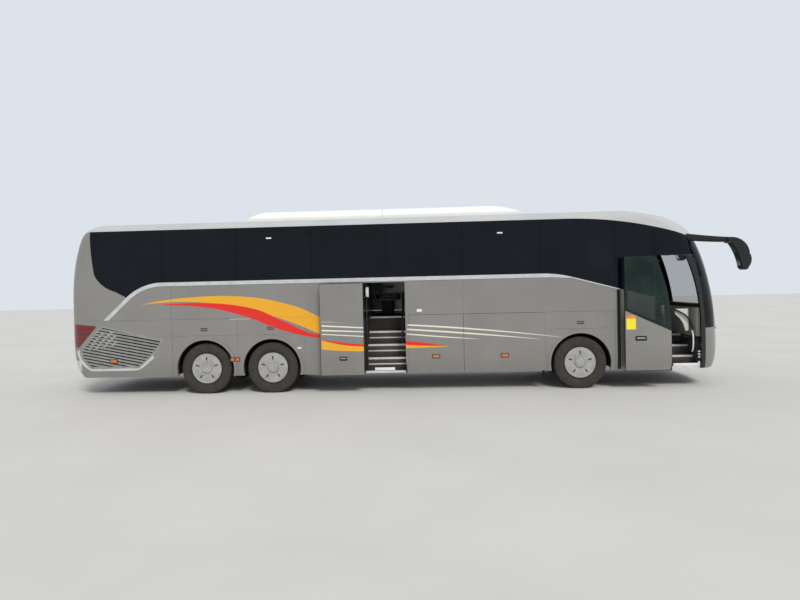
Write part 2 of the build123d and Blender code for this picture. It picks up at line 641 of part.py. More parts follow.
FRONT_TREADS = [(-1190, 400), (-960, 585), (-710, 770)]
MID_TREADS = [(-1190, 400), (-1000, 645), (-810, 895), (-620, 1150)]
STAIR_INNER_Y = -330.0
CHEEK = 20.0
FRONT_STAIR = (1405.0, 2285.0)
MID_STAIR = (-4275.0, -3345.0)
front_stair = joined(stairs(*FRONT_STAIR, FRONT_TREADS))
front_stair = front_stair + block(*FRONT_STAIR, STAIR_INNER_Y, STAIR_INNER_Y + CHEEK, 750, 915)
for x in (FRONT_STAIR[0], FRONT_STAIR[1] - CHEEK):
    front_stair = front_stair + block(x, x + CHEEK, -1190, STAIR_INNER_Y + CHEEK, 380, 915)
STAIR_CORNER = [(2100, -1250), (2300, -1250), (2300, -1135), (2230, -1160), (2100, -1192)]
front_stair = front_stair - plan_prism(STAIR_CORNER, 300, 1000)
mid_stair = joined(stairs(*MID_STAIR, MID_TREADS))
mid_stair = mid_stair + block(*MID_STAIR, STAIR_INNER_Y, STAIR_INNER_Y + CHEEK, 1130, 1399)
for x in (MID_STAIR[0], MID_STAIR[1] - CHEEK):
    mid_stair = mid_stair + block(x, x + CHEEK, -1190, STAIR_INNER_Y + CHEEK, 380, 1399)
save("stairwells", group([front_stair, mid_stair]))

# Luggage bay floor and bulkheads
bay_floor = block(-5380, -690, -1190, 1190, BAY_FLOOR_Z - SHEET, BAY_FLOOR_Z)
bay_floor = bay_floor - block(-4285, -3335, -1300, -300, 300, 500)
bulkhead_rear = block(-5380, -5380 + SHEET, -1190, 1190, BAY_FLOOR_Z - SHEET, DECK_Z - DECK_THICK - SEAL)
bulkhead_front = block(-690 - SHEET, -690, -1190, 1190, BAY_FLOOR_Z - SHEET, DECK_Z - DECK_THICK - SEAL)
save("luggage_bay", joined([bay_floor, bulkhead_rear, bulkhead_front]))

# Wheel housings: an arch over each wheel, closed on the inside; a rubber flap behind the front ones
HOUSING_LOW_Z = 400.0
ARCH_LOW_Z = 620.0
AXLE_NOTCH = 110.0
housings = []
for x in AXLES:
    outer_r = HOUSING_RADIUS + HOUSING_SHEET
    inner_y = -HOUSING_INNER_Y + HOUSING_SHEET
    over = arch(x, outer_r, -1215, inner_y) - arch(x, HOUSING_RADIUS, -1300, -HOUSING_INNER_Y)
    over = over & Pos(x, -900, (ARCH_LOW_Z + 1200) / 2) * Box(1400, 900, 1200 - ARCH_LOW_Z)
    side_sheet = arch(x, outer_r, -HOUSING_INNER_Y, inner_y)
    side_sheet = side_sheet & Pos(x, -550, (HOUSING_LOW_Z + 1200) / 2) * Box(1400, 100, 1200 - HOUSING_LOW_Z)
    notch = Pos(x, -550, 520) * Box(2 * AXLE_NOTCH, 100, 440)
    housing = (over + side_sheet) - notch
    housings += [housing, mirrored(housing)]
mud_flap = block(-690 + SEAL, -684, -1195, -950, 190, 560)
housings += [mud_flap, mirrored(mud_flap)]
save("wheel_housings", group(housings))

# Subframes: rails and cross members over the front axle and from the drive axle to the tail
Subframe = namedtuple("Subframe", "rear front members")
SUBFRAMES = [Subframe(-600, 1380, (-520, 640, 1300)), Subframe(-9780, -5450, (-9725, -7350, -5530))]
RAIL_Y = (400.0, 480.0)
RAIL_Z = (760.0, 920.0)
MEMBER_HALF = 45.0
ENGINE_MOUNTS = (-9400.0, -8700.0)
TOW_HOLE_R = 20.0
rails = []
for frame in SUBFRAMES:
    pieces = []
    for side in (-1, 1):
        pieces.append(block(frame.rear, frame.front, side * RAIL_Y[0], side * RAIL_Y[1], *RAIL_Z))
    for x in frame.members:
        pieces.append(block(x - MEMBER_HALF, x + MEMBER_HALF, -RAIL_Y[1], RAIL_Y[1], 780, 900))
    rails.append(joined(pieces))
for side in (-1, 1):
    for x in ENGINE_MOUNTS:
        rails[1] = rails[1] + block(x - 60, x + 60, side * 380, side * RAIL_Y[0], 780, 900)
tow_rail = block(1370, 2560, RAIL_Y[0], RAIL_Y[1], 760, 900)
tow_plate = block(2500, 2560, 380, 500, 430, 770)
tow_lug = block(2550, 2660, 390, 490, 430, 460)
tow_hole = Pos(fx(2615), 440, 445) * Cylinder(TOW_HOLE_R, 60)
rails[0] = rails[0] + tow_rail + tow_plate + tow_lug - tow_hole
save("subframes", group(rails))


# Axles
def cylinder_y(x, z, radius, y0, y1):
    """Round bar across the bus."""
    disc = Plane(origin=(x, y0, z), z_dir=(0, 1, 0)) * Circle(radius)
    return extrude(disc, amount=y1 - y0)


SINGLE_Y = TYRE_FACE_Y - TYRE_WIDTH / 2
HUB_R = 80.0
STUB_END = SINGLE_Y + 80.0
CROSS_MEMBER_Z = (330.0, 470.0)
LOWER_ARM_Z = (310.0, 362.0)
UPPER_ARM_Z = (658.0, 700.0)
SPRING_TOP_Z = RAIL_Z[0] - SEAL
front_parts = [block(-90, 90, -520, 520, *CROSS_MEMBER_Z)]
for side in (-1, 1):
    for low_z, high_z in (LOWER_ARM_Z, UPPER_ARM_Z):
        fork = [(-90, side * 500), (90, side * 500), (55, side * 930), (0, side * 975, BEND), (-55, side * 930)]
        front_parts.append(plan_prism(fork, low_z, high_z))
    front_parts.append(block(-70, 70, side * 420, side * 520, 400, SPRING_TOP_Z))
save("front_axle", joined(front_parts))

knuckles = {}
for side, name in ((1, "knuckle_left"), (-1, "knuckle_right")):
    y0, y1 = sorted((side * 880, side * 960))
    post = block(-60, 60, y0, y1, 370, 650)
    stub = cylinder_y(FRONT_AXLE_X, TYRE_RADIUS, HUB_R - SEAL, *sorted((side * 940, side * STUB_END)))
    save(name, post + stub)


def air_spring(x, y):
    """Bellows between an axle and the rail above it."""
    section = [(0, 560), (66, 560), (66, 600), (94, 640, BEND), (74, 680), (94, 720, BEND), (66, SPRING_TOP_Z)]
    section += [(0, SPRING_TOP_Z)]
    face = closed_face(section, lambda r, z: Vector(x + r, y, z))
    return revolve(face, Axis((x, y, 0), (0, 0, 1)), 360)


drive = cylinder_y(DRIVE_AXLE_X, TYRE_RADIUS, 85, -600, 600)
drive = drive + cylinder_y(DRIVE_AXLE_X, TYRE_RADIUS, HUB_R - SEAL, -STUB_END, STUB_END)
drive = drive + Pos(DRIVE_AXLE_X, 0, TYRE_RADIUS) * Sphere(220)
tag = cylinder_y(TAG_AXLE_X, TYRE_RADIUS, 70, -850, 850)
tag = tag + cylinder_y(TAG_AXLE_X, TYRE_RADIUS, HUB_R - SEAL, -STUB_END, STUB_END)
for side in (-1, 1):
    drive = drive + air_spring(DRIVE_AXLE_X, side * 440)
    tag = tag + air_spring(TAG_AXLE_X, side * 440)
save("drive_axle", drive)
save("tag_axle", tag)

engine = block(-9650, -8450, -380, 380, 480, 1330) + block(-8450, -7750, -240, 240, 520, 1000)
save("engine", engine)

# Wheels: name, axle x, y of each tyre's centre
Wheel = namedtuple("Wheel", "name axle centres")
TWIN_Y = (SINGLE_Y, SINGLE_Y - TWIN_PITCH)
WHEELS = [
    Wheel("front_right", FRONT_AXLE_X, (-SINGLE_Y,)),
    Wheel("front_left", FRONT_AXLE_X, (SINGLE_Y,)),
    Wheel("drive_right", DRIVE_AXLE_X, (-TWIN_Y[0], -TWIN_Y[1])),
    Wheel("drive_left", DRIVE_AXLE_X, TWIN_Y),
    Wheel("tag_right", TAG_AXLE_X, (-SINGLE_Y,)),
    Wheel("tag_left", TAG_AXLE_X, (SINGLE_Y,)),
]


def turned(points, axle_x, y):
    """Solid of revolution about a wheel's centre line, from (y offset, radius) points."""
    face = closed_face(points, lambda dy, r: Vector(axle_x, y + dy, TYRE_RADIUS + r))
    return revolve(face, Axis((axle_x, 0, TYRE_RADIUS), (0, 1, 0)), 360)


def wheel_bar(axle_x, radius, y, side, reach):
    """Round bar on a wheel's centre line, between two distances outward of y."""
    return cylinder_y(axle_x, TYRE_RADIUS, radius, *sorted((y + side * reach[0], y + side * reach[1])))


HALF = TYRE_WIDTH / 2
TYRE_SECTION = [
    (-0.72 * HALF, BEAD_RADIUS + SEAL), (-HALF, 395, BEND), (-0.86 * HALF, 497), (-0.79 * HALF, 507),
    (0, TYRE_RADIUS, BEND), (0.79 * HALF, 507), (0.86 * HALF, 497), (HALF, 395, BEND),
    (0.72 * HALF, BEAD_RADIUS + SEAL),
]
RIM_SECTION = [
    (-0.86 * HALF, 262), (-0.86 * HALF, 300), (-0.80 * HALF, 300), (-0.77 * HALF, BEAD_RADIUS),
    (0.77 * HALF, BEAD_RADIUS), (0.80 * HALF, 300), (0.86 * HALF, 300), (0.86 * HALF, 262),
]

# Wheel cover, dished, with drop-shaped slots and a hub cap; sizes outward from the tyre's middle
COVER_SECTION = [
    (92, 0), (92, 272), (112, 284), (124, 262), (129, 205, BEND), (122, 150), (116, 112), (134, 100),
    (145, 86, BEND), (148, 60), (148, 0),
]
SLOT_COUNT = 5
SLOT_CENTRE = 212.0
SLOT_ROUND = 14.0
SLOT_TIP = 158.0
cover = turned([(-p[0], *p[1:]) for p in COVER_SECTION], 0, 0)
drops = []
for i in range(SLOT_COUNT):
    angle = math.radians(90 + i * 360 / SLOT_COUNT)
    along = (math.cos(angle), 0, math.sin(angle))
    plane = Plane(origin=(0, -200, TYRE_RADIUS), x_dir=along, z_dir=(0, 1, 0))
    drop_round = plane * Pos(SLOT_CENTRE, 0) * Circle(SLOT_ROUND)
    wedge = plane * Polygon((SLOT_CENTRE, SLOT_ROUND), (SLOT_TIP, 0), (SLOT_CENTRE, -SLOT_ROUND), align=None)
    drops.append(extrude(drop_round, amount=95) + extrude(wedge, amount=95))
cover = cover - group(drops)

HUB_RADIUS = 125.0
WEB_RADIUS = 275.0
WEB = (60.0, 80.0)
HUB_FRONT = 90.0
BORE_FRONT = 84.0
for wheel in WHEELS:
    side = 1 if wheel.centres[0] > 0 else -1
    tyres = [turned(TYRE_SECTION, wheel.axle, y) for y in wheel.centres]
    rims = [turned(RIM_SECTION, wheel.axle, y) for y in wheel.centres]
    face = wheel.centres[0]
    hub = wheel_bar(wheel.axle, WEB_RADIUS, face, side, WEB)
    hub = hub + wheel_bar(wheel.axle, HUB_RADIUS, face, side, (-40, HUB_FRONT))
    hub = hub - wheel_bar(wheel.axle, HUB_R, face, side, (-60, BORE_FRONT))
    rim = rims[0] + hub
    if len(rims) > 1:
        second = wheel.centres[1]
        tube = wheel_bar(wheel.axle, WEB_RADIUS, second, side, (90, 110))
        tube = tube + wheel_bar(wheel.axle, HUB_RADIUS, second, side, (90, TWIN_PITCH - 30))
        tube = tube - wheel_bar(wheel.axle, HUB_R, second, side, (0, TWIN_PITCH))
        rim = rim + (rims[1] + tube)
    shield = Pos(wheel.axle, -SINGLE_Y, 0) * cover
    if side > 0:
        shield = mirrored(shield)
    rim = rim + shield
    save("tyre_" + wheel.name, group(tyres))
    save("rim_" + wheel.name, rim)

# Seats: name, row positions and side limits
SEAT_PROFILE = [
    (80, SEAL), (80, 250), (0, 310), (0, 430), (60, 470), (440, 460), (520, 1050), (600, 1130), (650, 1110),
    (640, 1000), (560, 400), (500, 300), (400, 250), (400, SEAL),
]
PITCH = 815.0
seats = []
for row in range(12):
    x = 480 - row * PITCH
    for side in (-1, 1):
        if side < 0 and -4900 < x < -3250:
            continue
        y0, y1 = sorted((side * 240, side * 1150))
        seats.append(side_prism([(x - dx, DECK_Z + dz) for dx, dz in SEAT_PROFILE], y0, y1))
x = 2000
seats.append(side_prism([(x - dx, CAB_FLOOR_Z + dz) for dx, dz in SEAT_PROFILE], 420, 900))
save("seats", group(seats))

# Dash across the nose with the driver's binnacle, and the hand wheel
DASH_SIDE = [(2300, CAB_FLOOR_Z + 1), (2700, CAB_FLOOR_Z + 1), (2700, 1520), (2560, 1585, BEND), (2300, 1600)]
DASH_PLAN = [(2250, -1030), (2370, -1030), (2560, -760), (2630, 0, BEND)]
DASH_PLAN += [(2560, 760), (2370, 1030), (2250, 1030)]
BINNACLE = [(2320, CAB_FLOOR_Z + 1), (2320, 1640), (2220, 1640, BEND), (2150, 1560), (2190, 1250, BEND)]
BINNACLE += [(2240, CAB_FLOOR_Z + 1)]
dash = side_prism(DASH_SIDE, -1030, 1030) & plan_prism(DASH_PLAN, 900, 1700)
dash = dash + side_prism(BINNACLE, 360, 960)
save("dash", dash)
WHEEL_CENTRE = (2030.0, 660.0, 1640.0)
WHEEL_TILT = Vector(-0.35, 0, 0.94)
wheel_plane = Plane(origin=(fx(WHEEL_CENTRE[0]), WHEEL_CENTRE[1], WHEEL_CENTRE[2]), z_dir=WHEEL_TILT)
hand_rim = wheel_plane * Torus(235, 16)
spokes = (wheel_plane * Box(440, 44, 18)) + (wheel_plane * Pos(0, 0, -4) * Cylinder(60, 30))
column = rod((2030, 660, 1636), (2180, 660, 1330), 30)
save("hand_wheel", (hand_rim + spokes + column) - dash)

# Mirrors: a tapering arm from the screen's upper corner, and a head that hangs like an ear
ArmStation = namedtuple("ArmStation", "x y z width height")
MIRROR_ARM = [
    ArmStation(1990, -1090, 2925, 50, 70),
    ArmStation(2350, -1225, 2868, 48, 62),
    ArmStation(2770, -1400, 2822, 70, 48),
]
MirrorHead = namedtuple("MirrorHead", "side length")
MIRROR_HEADS = [MirrorHead(-1, 1.0), MirrorHead(1, 0.55)]
HEAD_TOP_Z = 2866.0
HEAD_X = 2960.0
HEAD_Z = 2640.0
HeadLayer = namedtuple("HeadLayer", "y scale")
HEAD_LAYERS = [HeadLayer(-1500, 0.93), HeadLayer(-1474, 1.0), HeadLayer(-1336, 1.0), HeadLayer(-1310, 0.93)]
HEAD_TIP_X = 3143.0
EAR = [
    (2700, 0), (2786, 0), (3000, 88, BEND), (3108, 325), (HEAD_TIP_X, 450, BEND), (3098, 560),
    (3035, 622, BEND), (2958, 590), (2888, 330, BEND), (2770, 110), (2700, 92),
]
mirror_core = outer & block(1500, 2700, -1400, -900, 2600, 3300)
mirrors = []
for head in MIRROR_HEADS:
    sections = []
    for i, station in enumerate(MIRROR_ARM):
        ahead = MIRROR_ARM[min(i + 1, 2)]
        behind = MIRROR_ARM[max(i - 1, 0)]
        course = Vector(ahead.x - behind.x, ahead.y - behind.y, ahead.z - behind.z)
        across = course.cross(Vector(0, 0, 1))
        place = Plane(origin=(fx(station.x), station.y, station.z), x_dir=across, z_dir=course)
        sections.append(place * Ellipse(station.width, station.height))
    arm = loft(sections)
    points = [(p[0], HEAD_TOP_Z - (p[1] * head.length if p[1] > 110 else p[1]), *p[2:]) for p in EAR]
    layers = []
    for layer in HEAD_LAYERS:
        shrunk = []
        for p in points:
            x = HEAD_X + (p[0] - HEAD_X) * layer.scale
            z = HEAD_Z + (p[1] - HEAD_Z) * layer.scale
            shrunk.append((x, z, *p[2:]))
        layers.append(closed_face(shrunk, lambda x, z: Vector(fx(x), layer.y, z)))
    ear = loft(layers, ruled=True)
    mirror_part = (arm + ear) - Pos(0, -SEAL, SEAL) * mirror_core
    mirrors.append(mirror_part if head.side < 0 else mirrored(mirror_part))
save("mirrors", group(mirrors))


# Wipers: a spindle under the screen, an arm, and a blade in two runs that follow the screen
def nose_x(y, z):
    """Forward reach of the skin at a point of the front, between the two levels around it."""
    nose = 0.0
    for low, high in zip(LEVELS[:-1], LEVELS[1:]):
        if low.z <= z <= high.z:
            nose = low.nose + (z - low.z) / (high.z - low.z) * (high.nose - low.nose)
    return nose - NOSE_SWEEP + math.sqrt(NOSE_SWEEP ** 2 - y ** 2)


def over_screen(y, z, off):
    """Point in front of the screen, so far off the glass."""
    return Vector(fx(nose_x(y, z) + off), y, z)


Wiper = namedtuple("Wiper", "spindle_y blade_start blade_end")
WIPERS = [Wiper(-800, -800, -60), Wiper(130, 100, 800)]
SPINDLE_Z = 1110.0
BLADE_Z = 1310.0
BLADE_OFF = 26.0
BOSS_RADIUS = 24.0
ARM_THICK = 10.0
BLADE_THICK = 9.0
BLADE_JOINT = 15.0
wipers = []
for wiper in WIPERS:
    spindle = over_screen(wiper.spindle_y, SPINDLE_Z, 0)
    middle_y = (wiper.blade_start + wiper.blade_end) / 2
    start = over_screen(wiper.blade_start, BLADE_Z, BLADE_OFF)
    middle = over_screen(middle_y, BLADE_Z, BLADE_OFF)
    end = over_screen(wiper.blade_end, BLADE_Z, BLADE_OFF)
    boss = bar(spindle - Vector(20, 0, 0), spindle + Vector(40, 0, 0), BOSS_RADIUS)
    arm = bar(spindle + Vector(32, 0, 0), middle, ARM_THICK)
    knuckle = Pos(*middle) * Sphere(BLADE_JOINT)
    blade = bar(middle, start, BLADE_THICK) + bar(middle, end, BLADE_THICK)
    wipers.append(boss + arm + knuckle + blade)
wiper_core = outer & block(2300, 2900, -900, 900, 1000, 1300)
save("wipers", group([group(wipers) - Pos(SEAL, 0, 0) * wiper_core]))
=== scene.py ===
import math

import bmesh
import bpy
from bpy.props import FloatProperty, IntProperty, PointerProperty
from mathutils import Matrix, Vector
from mathutils.bvhtree import BVHTree

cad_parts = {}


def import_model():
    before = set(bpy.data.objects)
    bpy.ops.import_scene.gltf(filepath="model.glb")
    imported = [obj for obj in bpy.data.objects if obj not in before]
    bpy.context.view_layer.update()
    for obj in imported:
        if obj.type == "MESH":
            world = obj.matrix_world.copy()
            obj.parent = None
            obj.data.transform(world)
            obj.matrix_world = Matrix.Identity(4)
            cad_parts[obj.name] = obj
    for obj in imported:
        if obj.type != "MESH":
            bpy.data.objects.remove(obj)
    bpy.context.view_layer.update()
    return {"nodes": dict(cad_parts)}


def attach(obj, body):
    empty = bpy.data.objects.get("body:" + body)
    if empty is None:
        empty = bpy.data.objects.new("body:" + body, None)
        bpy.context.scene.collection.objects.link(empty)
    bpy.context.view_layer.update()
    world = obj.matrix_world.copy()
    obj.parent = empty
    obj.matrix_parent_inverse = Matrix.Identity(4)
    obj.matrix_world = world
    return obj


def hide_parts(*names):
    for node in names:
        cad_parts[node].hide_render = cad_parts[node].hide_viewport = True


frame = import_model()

bl_info = {
    "name": "Touring coach dresser",
    "version": (1, 0, 0),
    "blender": (4, 5, 0),
    "location": "View3D > Sidebar > Coach",
    "description": "Dresses the packed coach with finishes, treads, seats, lamps and trim",
    "category": "Object",
}

NODES = frame["nodes"]
FRONT_AXLE_X = 3.5775
DRIVE_AXLE_X = FRONT_AXLE_X - 6.08
TAG_AXLE_X = DRIVE_AXLE_X - 1.35
TYRE_RADIUS = 0.51
TYRE_WIDTH = 0.29
SINGLE_Y = 1.085
TWIN_PITCH = 0.33
SIDE_SIGN = {"right": -1, "left": 1}
# Rays towards the coach start this far out to the ends, to the sides and above
BEYOND = 8.0
BESIDE = 1.7
ABOVE = 5.0


# Colours and node helpers

def srgb(code):
    """Linear colour of an sRGB hex value."""
    out = []
    for i in (1, 3, 5):
        c = int(code[i:i + 2], 16) / 255
        out.append(c / 12.92 if c <= 0.04045 else ((c + 0.055) / 1.055) ** 2.4)
    return (*out, 1.0)


def fill(tree, node, given):
    """Sets or links a node's inputs; a key with no capital is a property, and a node is its first output."""
    for key, value in given.items():
        if isinstance(value, bpy.types.Node):
            value = value.outputs[0]
        if isinstance(key, str) and key.islower():
            setattr(node, key, value)
        elif isinstance(value, bpy.types.NodeSocket):
            tree.links.new(value, node.inputs[key])
        else:
            node.inputs[key].default_value = value
    return node


def add(tree, kind, given):
    """One node with its settings and links."""
    return fill(tree, tree.nodes.new("ShaderNode" + kind), given)


def finish(name, given):
    """A new material with one Principled shader, and that shader's tree."""
    made = bpy.data.materials.new(name)
    made.use_nodes = True
    tree = made.node_tree
    return made, tree, fill(tree, tree.nodes["Principled BSDF"], given)


def side_axes(tree):
    """Forward of the front axle, height and sideways in metres, as sockets."""
    parts = add(tree, "SeparateXYZ", {"Vector": add(tree, "TexCoord", {}).outputs["Object"]})
    x = add(tree, "Math", {"operation": "SUBTRACT", 0: parts.outputs["X"], 1: FRONT_AXLE_X})
    return x, parts.outputs["Z"], parts.outputs["Y"]


def grain(tree, size_mm, detail=3.0):
    """Cloudy pattern from 0 to 1 whose grains are about size_mm across."""
    place = add(tree, "TexCoord", {}).outputs["Object"]
    scale = 1000.0 / size_mm
    return add(tree, "TexNoise", {"Vector": place, "Scale": scale, "Detail": detail, "Roughness": 0.55})


def clouds(tree, size_mm, low, high, start=0.0, end=1.0, detail=3.0):
    """Grain of a size, with its values from start to end taken to low to high."""
    return add(tree, "MapRange", {
        "Value": grain(tree, size_mm, detail), "From Min": start, "From Max": end,
        "To Min": low, "To Max": high,
    })


def over(tree, colour, mask, tone):
    """A colour with an sRGB tone laid over it where a mask is 1."""
    return add(tree, "Mix", {"data_type": "RGBA", "Factor": mask, 6: colour, 7: srgb(tone)}).outputs[2]


def speckle(tree, tone, deep, size_mm, low=0.35, high=0.65):
    """Two sRGB tones in soft patches about size_mm across."""
    return over(tree, srgb(tone), clouds(tree, size_mm, 0.0, 1.0, low, high), deep)


def near(tree, value, low, high, soft=0.004):
    """Mask that is 1 where a value lies between two limits."""
    above = add(tree, "Math", {"operation": "SUBTRACT", 0: value, 1: low})
    below = add(tree, "Math", {"operation": "SUBTRACT", 0: high, 1: value})
    inside = add(tree, "Math", {"operation": "MINIMUM", 0: above, 1: below})
    return add(tree, "MapRange", {"Value": inside, "From Min": -soft / 2, "From Max": soft / 2})


def both(tree, first, second):
    """Mask that is 1 where two masks are 1; a number below 1 weakens a mask."""
    return add(tree, "Math", {"operation": "MULTIPLY", 0: first, 1: second})


def ridges(tree, value, pitch_mm):
    """Wave from -1 to 1 whose crests are pitch_mm apart."""
    turns = add(tree, "Math", {"operation": "MULTIPLY", 0: value, 1: 2000.0 * math.pi / pitch_mm})
    return add(tree, "Math", {"operation": "SINE", 0: turns})


def relief(tree, shader, height, depth_mm):
    """Gives a finish a relief, depth_mm deep from 0 to 1."""
    raised = add(tree, "Bump", {"Strength": 1.0, "Distance": depth_mm / 1000.0, "Height": height})
    fill(tree, shader, {"Normal": raised})


# Stripes, and one painted highlight: shade, then upper and lower edge as (forward of the front axle, height)
# points in metres

YELLOW = "#F7B323"
RED = "#EC261C"
CREAM = "#F2F0DC"
WALL_STRIPES = [
    (
        YELLOW,
        [(-8.705, 1.827), (-7.706, 1.952), (-6.690, 1.950), (-5.786, 1.791), (-5.112, 1.518), (-4.6, 1.25),
         (-4.231, 1.045), (-3.383, 0.923), (-2.586, 0.886)],
        [(-8.705, 1.826), (-7.709, 1.862), (-6.697, 1.710), (-5.796, 1.462), (-5.121, 1.180), (-4.6, 0.97),
         (-4.231, 0.853), (-3.385, 0.856), (-2.586, 0.875)],
    ),
    (
        RED,
        [(-8.428, 1.813), (-7.506, 1.838), (-6.695, 1.760), (-5.797, 1.428), (-5.122, 1.160), (-4.231, 1.075),
         (-3.382, 1.001), (-2.586, 0.891)],
        [(-8.428, 1.812), (-7.509, 1.758), (-6.701, 1.581), (-5.802, 1.243), (-5.124, 1.091), (-4.231, 1.02),
         (-3.383, 0.923), (-2.586, 0.886)],
    ),
    (CREAM, [(-3.36, 1.329), (-2.268, 1.244), (-0.365, 1.021)],
     [(-3.36, 1.300), (-2.268, 1.215), (-0.365, 1.017)]),
    (CREAM, [(-3.369, 1.243), (-2.137, 1.139), (-0.783, 0.992)],
     [(-3.369, 1.214), (-2.137, 1.110), (-0.783, 0.988)]),
    (CREAM, [(-3.372, 1.147), (-2.272, 1.043), (-1.945, 1.014)],
     [(-3.372, 1.124), (-2.272, 1.028), (-1.945, 1.011)]),
    # Thin pale line along a panel joint: a painted highlight, not a stripe
    (CREAM, [(-6.906, 1.504), (-6.501, 1.504)], [(-6.906, 1.496), (-6.501, 1.496)]),
]
MID_LEAF_STRIPES = [
    (
        YELLOW,
        [(-5.038, 1.060), (-4.816, 1.003), (-4.573, 0.956), (-4.197, 0.925)],
        [(-5.042, 0.885), (-4.820, 0.859), (-4.576, 0.843), (-4.199, 0.832)],
    ),
    (
        RED,
        [(-5.037, 1.069), (-4.815, 1.036), (-4.572, 1.003), (-4.196, 0.965)],
        [(-5.038, 1.060), (-4.816, 1.003), (-4.573, 0.956), (-4.197, 0.925)],
    ),
    (CREAM, [(-5.03, 1.357), (-4.19, 1.300)], [(-5.03, 1.328), (-4.19, 1.276)]),
    (CREAM, [(-5.03, 1.268), (-4.19, 1.221)], [(-5.03, 1.237), (-4.19, 1.201)]),
    (CREAM, [(-5.03, 1.188), (-4.19, 1.130)], [(-5.03, 1.169), (-4.19, 1.111)]),
    (CREAM, [(-5.028, 1.424), (-4.584, 1.395)], [(-5.028, 1.416), (-4.584, 1.393)]),
]


def edge_curve(tree, x, points):
    """Height of a stripe's edge at x, as a smooth curve through a few points."""
    xs = [p[0] for p in points]
    zs = [p[1] for p in points]
    low, high = min(zs) - 0.01, max(zs) + 0.01
    along = add(tree, "MapRange", {"Value": x, "From Min": xs[0], "From Max": xs[-1]})
    curve = add(tree, "FloatCurve", {"Value": along})
    line = curve.mapping.curves[0]
    scaled = [((px - xs[0]) / (xs[-1] - xs[0]), (pz - low) / (high - low)) for px, pz in points]
    while len(line.points) < len(scaled):
        line.points.new(0.5, 0.5)
    for point, (a, b) in zip(line.points, scaled):
        point.location = (a, b)
    curve.mapping.update()
    height = add(tree, "Math", {"operation": "MULTIPLY", 0: curve, 1: high - low})
    return add(tree, "Math", {"operation": "ADD", 0: height, 1: low})


def band(tree, x, z, top, bottom):
    """Mask of a stripe between two edges, about 2 mm soft."""
    under_top = add(tree, "Math", {"operation": "SUBTRACT", 0: edge_curve(tree, x, top), 1: z})
    above_bottom = add(tree, "Math", {"operation": "SUBTRACT", 0: z, 1: edge_curve(tree, x, bottom)})
    past_rear = add(tree, "Math", {"operation": "SUBTRACT", 0: x, 1: top[0][0]})
    short_of_front = add(tree, "Math", {"operation": "SUBTRACT", 0: top[-1][0], 1: x})
    inside = add(tree, "Math", {"operation": "MINIMUM", 0: under_top, 1: above_bottom})
    for limit in (past_rear, short_of_front):
        inside = add(tree, "Math", {"operation": "MINIMUM", 0: inside, 1: limit})
    return add(tree, "MapRange", {"Value": inside, "From Min": -0.001, "From Max": 0.002})


# Finishes

def enamel(name, tone, deep, stripes=(), coat=0.5):
    """Metallic coach enamel, sprayed and lacquered: an even sheen with fine flake, and darker in soft clouds
    low down.
    """
    made, tree, shader = finish(name, {"Metallic": 0.35, "Coat Weight": coat, "Coat Roughness": 0.08})
    x, z, _ = side_axes(tree)
    colour = speckle(tree, tone, deep, 900.0, 0.3, 0.7)
    for shade, top, bottom in stripes:
        colour = over(tree, colour, band(tree, x, z, top, bottom), shade)
    # Darker towards the bottom: from the sills up to about 0.8 m, in soft clouds of a hand's width
    low_down = add(tree, "MapRange", {"Value": z, "From Min": 0.85, "From Max": 0.35, "To Max": 0.5})
    colour = over(tree, colour, both(tree, low_down, grain(tree, 160.0)), "#77736B")
    # Rain streaks, 12 mm wide and long in height, darken the paint a little
    place = add(tree, "TexCoord", {}).outputs["Object"]
    runs = add(tree, "Mapping", {"Scale": (80.0, 80.0, 2.2), "Vector": place})
    streaks = add(tree, "TexNoise", {"Scale": 1.0, "Detail": 2.0, "Vector": runs})
    faint = add(tree, "MapRange", {"Value": streaks, "From Min": 0.55, "From Max": 0.8, "To Max": 0.16})
    colour = over(tree, colour, faint, "#6A675F")
    fill(tree, shader, {"Base Color": colour, "Roughness": clouds(tree, 4.0, 0.28, 0.40)})
    return made


def side_panes():
    """Toughened side glass, tinted in the melt: near black and sharply reflecting, but pale by the driver."""
    made, tree, shader = finish("dark_tinted_glass", {"IOR": 1.5, "Specular IOR Level": 0.25})
    x, z, y = side_axes(tree)
    clear = both(tree, near(tree, y, 0.5, 2.0), near(tree, x, 0.83, 2.13))
    clear = both(tree, clear, near(tree, z, 1.60, 3.08))
    fill(tree, shader, {
        "Base Color": over(tree, speckle(tree, "#060A11", "#0A1018", 700.0), clear, "#1C2E2B"),
        "Alpha": add(tree, "MapRange", {"Value": clear, "To Min": 0.93, "To Max": 0.35}),
        "Roughness": clouds(tree, 300.0, 0.02, 0.05),
    })
    return made


def door_glass():
    """Laminated glass with a faint green edge tint, clear enough to show the steps behind it."""
    made, tree, shader = finish("green_tinted_glass", {"IOR": 1.5, "Specular IOR Level": 0.25, "Alpha": 0.42})
    fill(tree, shader, {
        "Base Color": speckle(tree, "#2F423D", "#22302C", 500.0),
        "Roughness": clouds(tree, 300.0, 0.02, 0.05),
    })
    return made


def screen_glass(half, low, high):
    """Laminated screen glass, faintly green, with a black border fired on round its clear part."""
    made, tree, shader = finish("laminated_screen_glass", {"IOR": 1.5, "Specular IOR Level": 0.25})
    _, z, y = side_axes(tree)
    middle = near(tree, add(tree, "Math", {"operation": "ABSOLUTE", 0: y}), -1.0, half)
    clear = both(tree, middle, near(tree, z, low, high))
    fill(tree, shader, {
        "Base Color": over(tree, srgb("#07080A"), clear, "#1C2724"),
        "Alpha": add(tree, "MapRange", {"Value": clear, "To Min": 1.0, "To Max": 0.30}),
        "Roughness": clouds(tree, 300.0, 0.02, 0.05),
    })
    return made


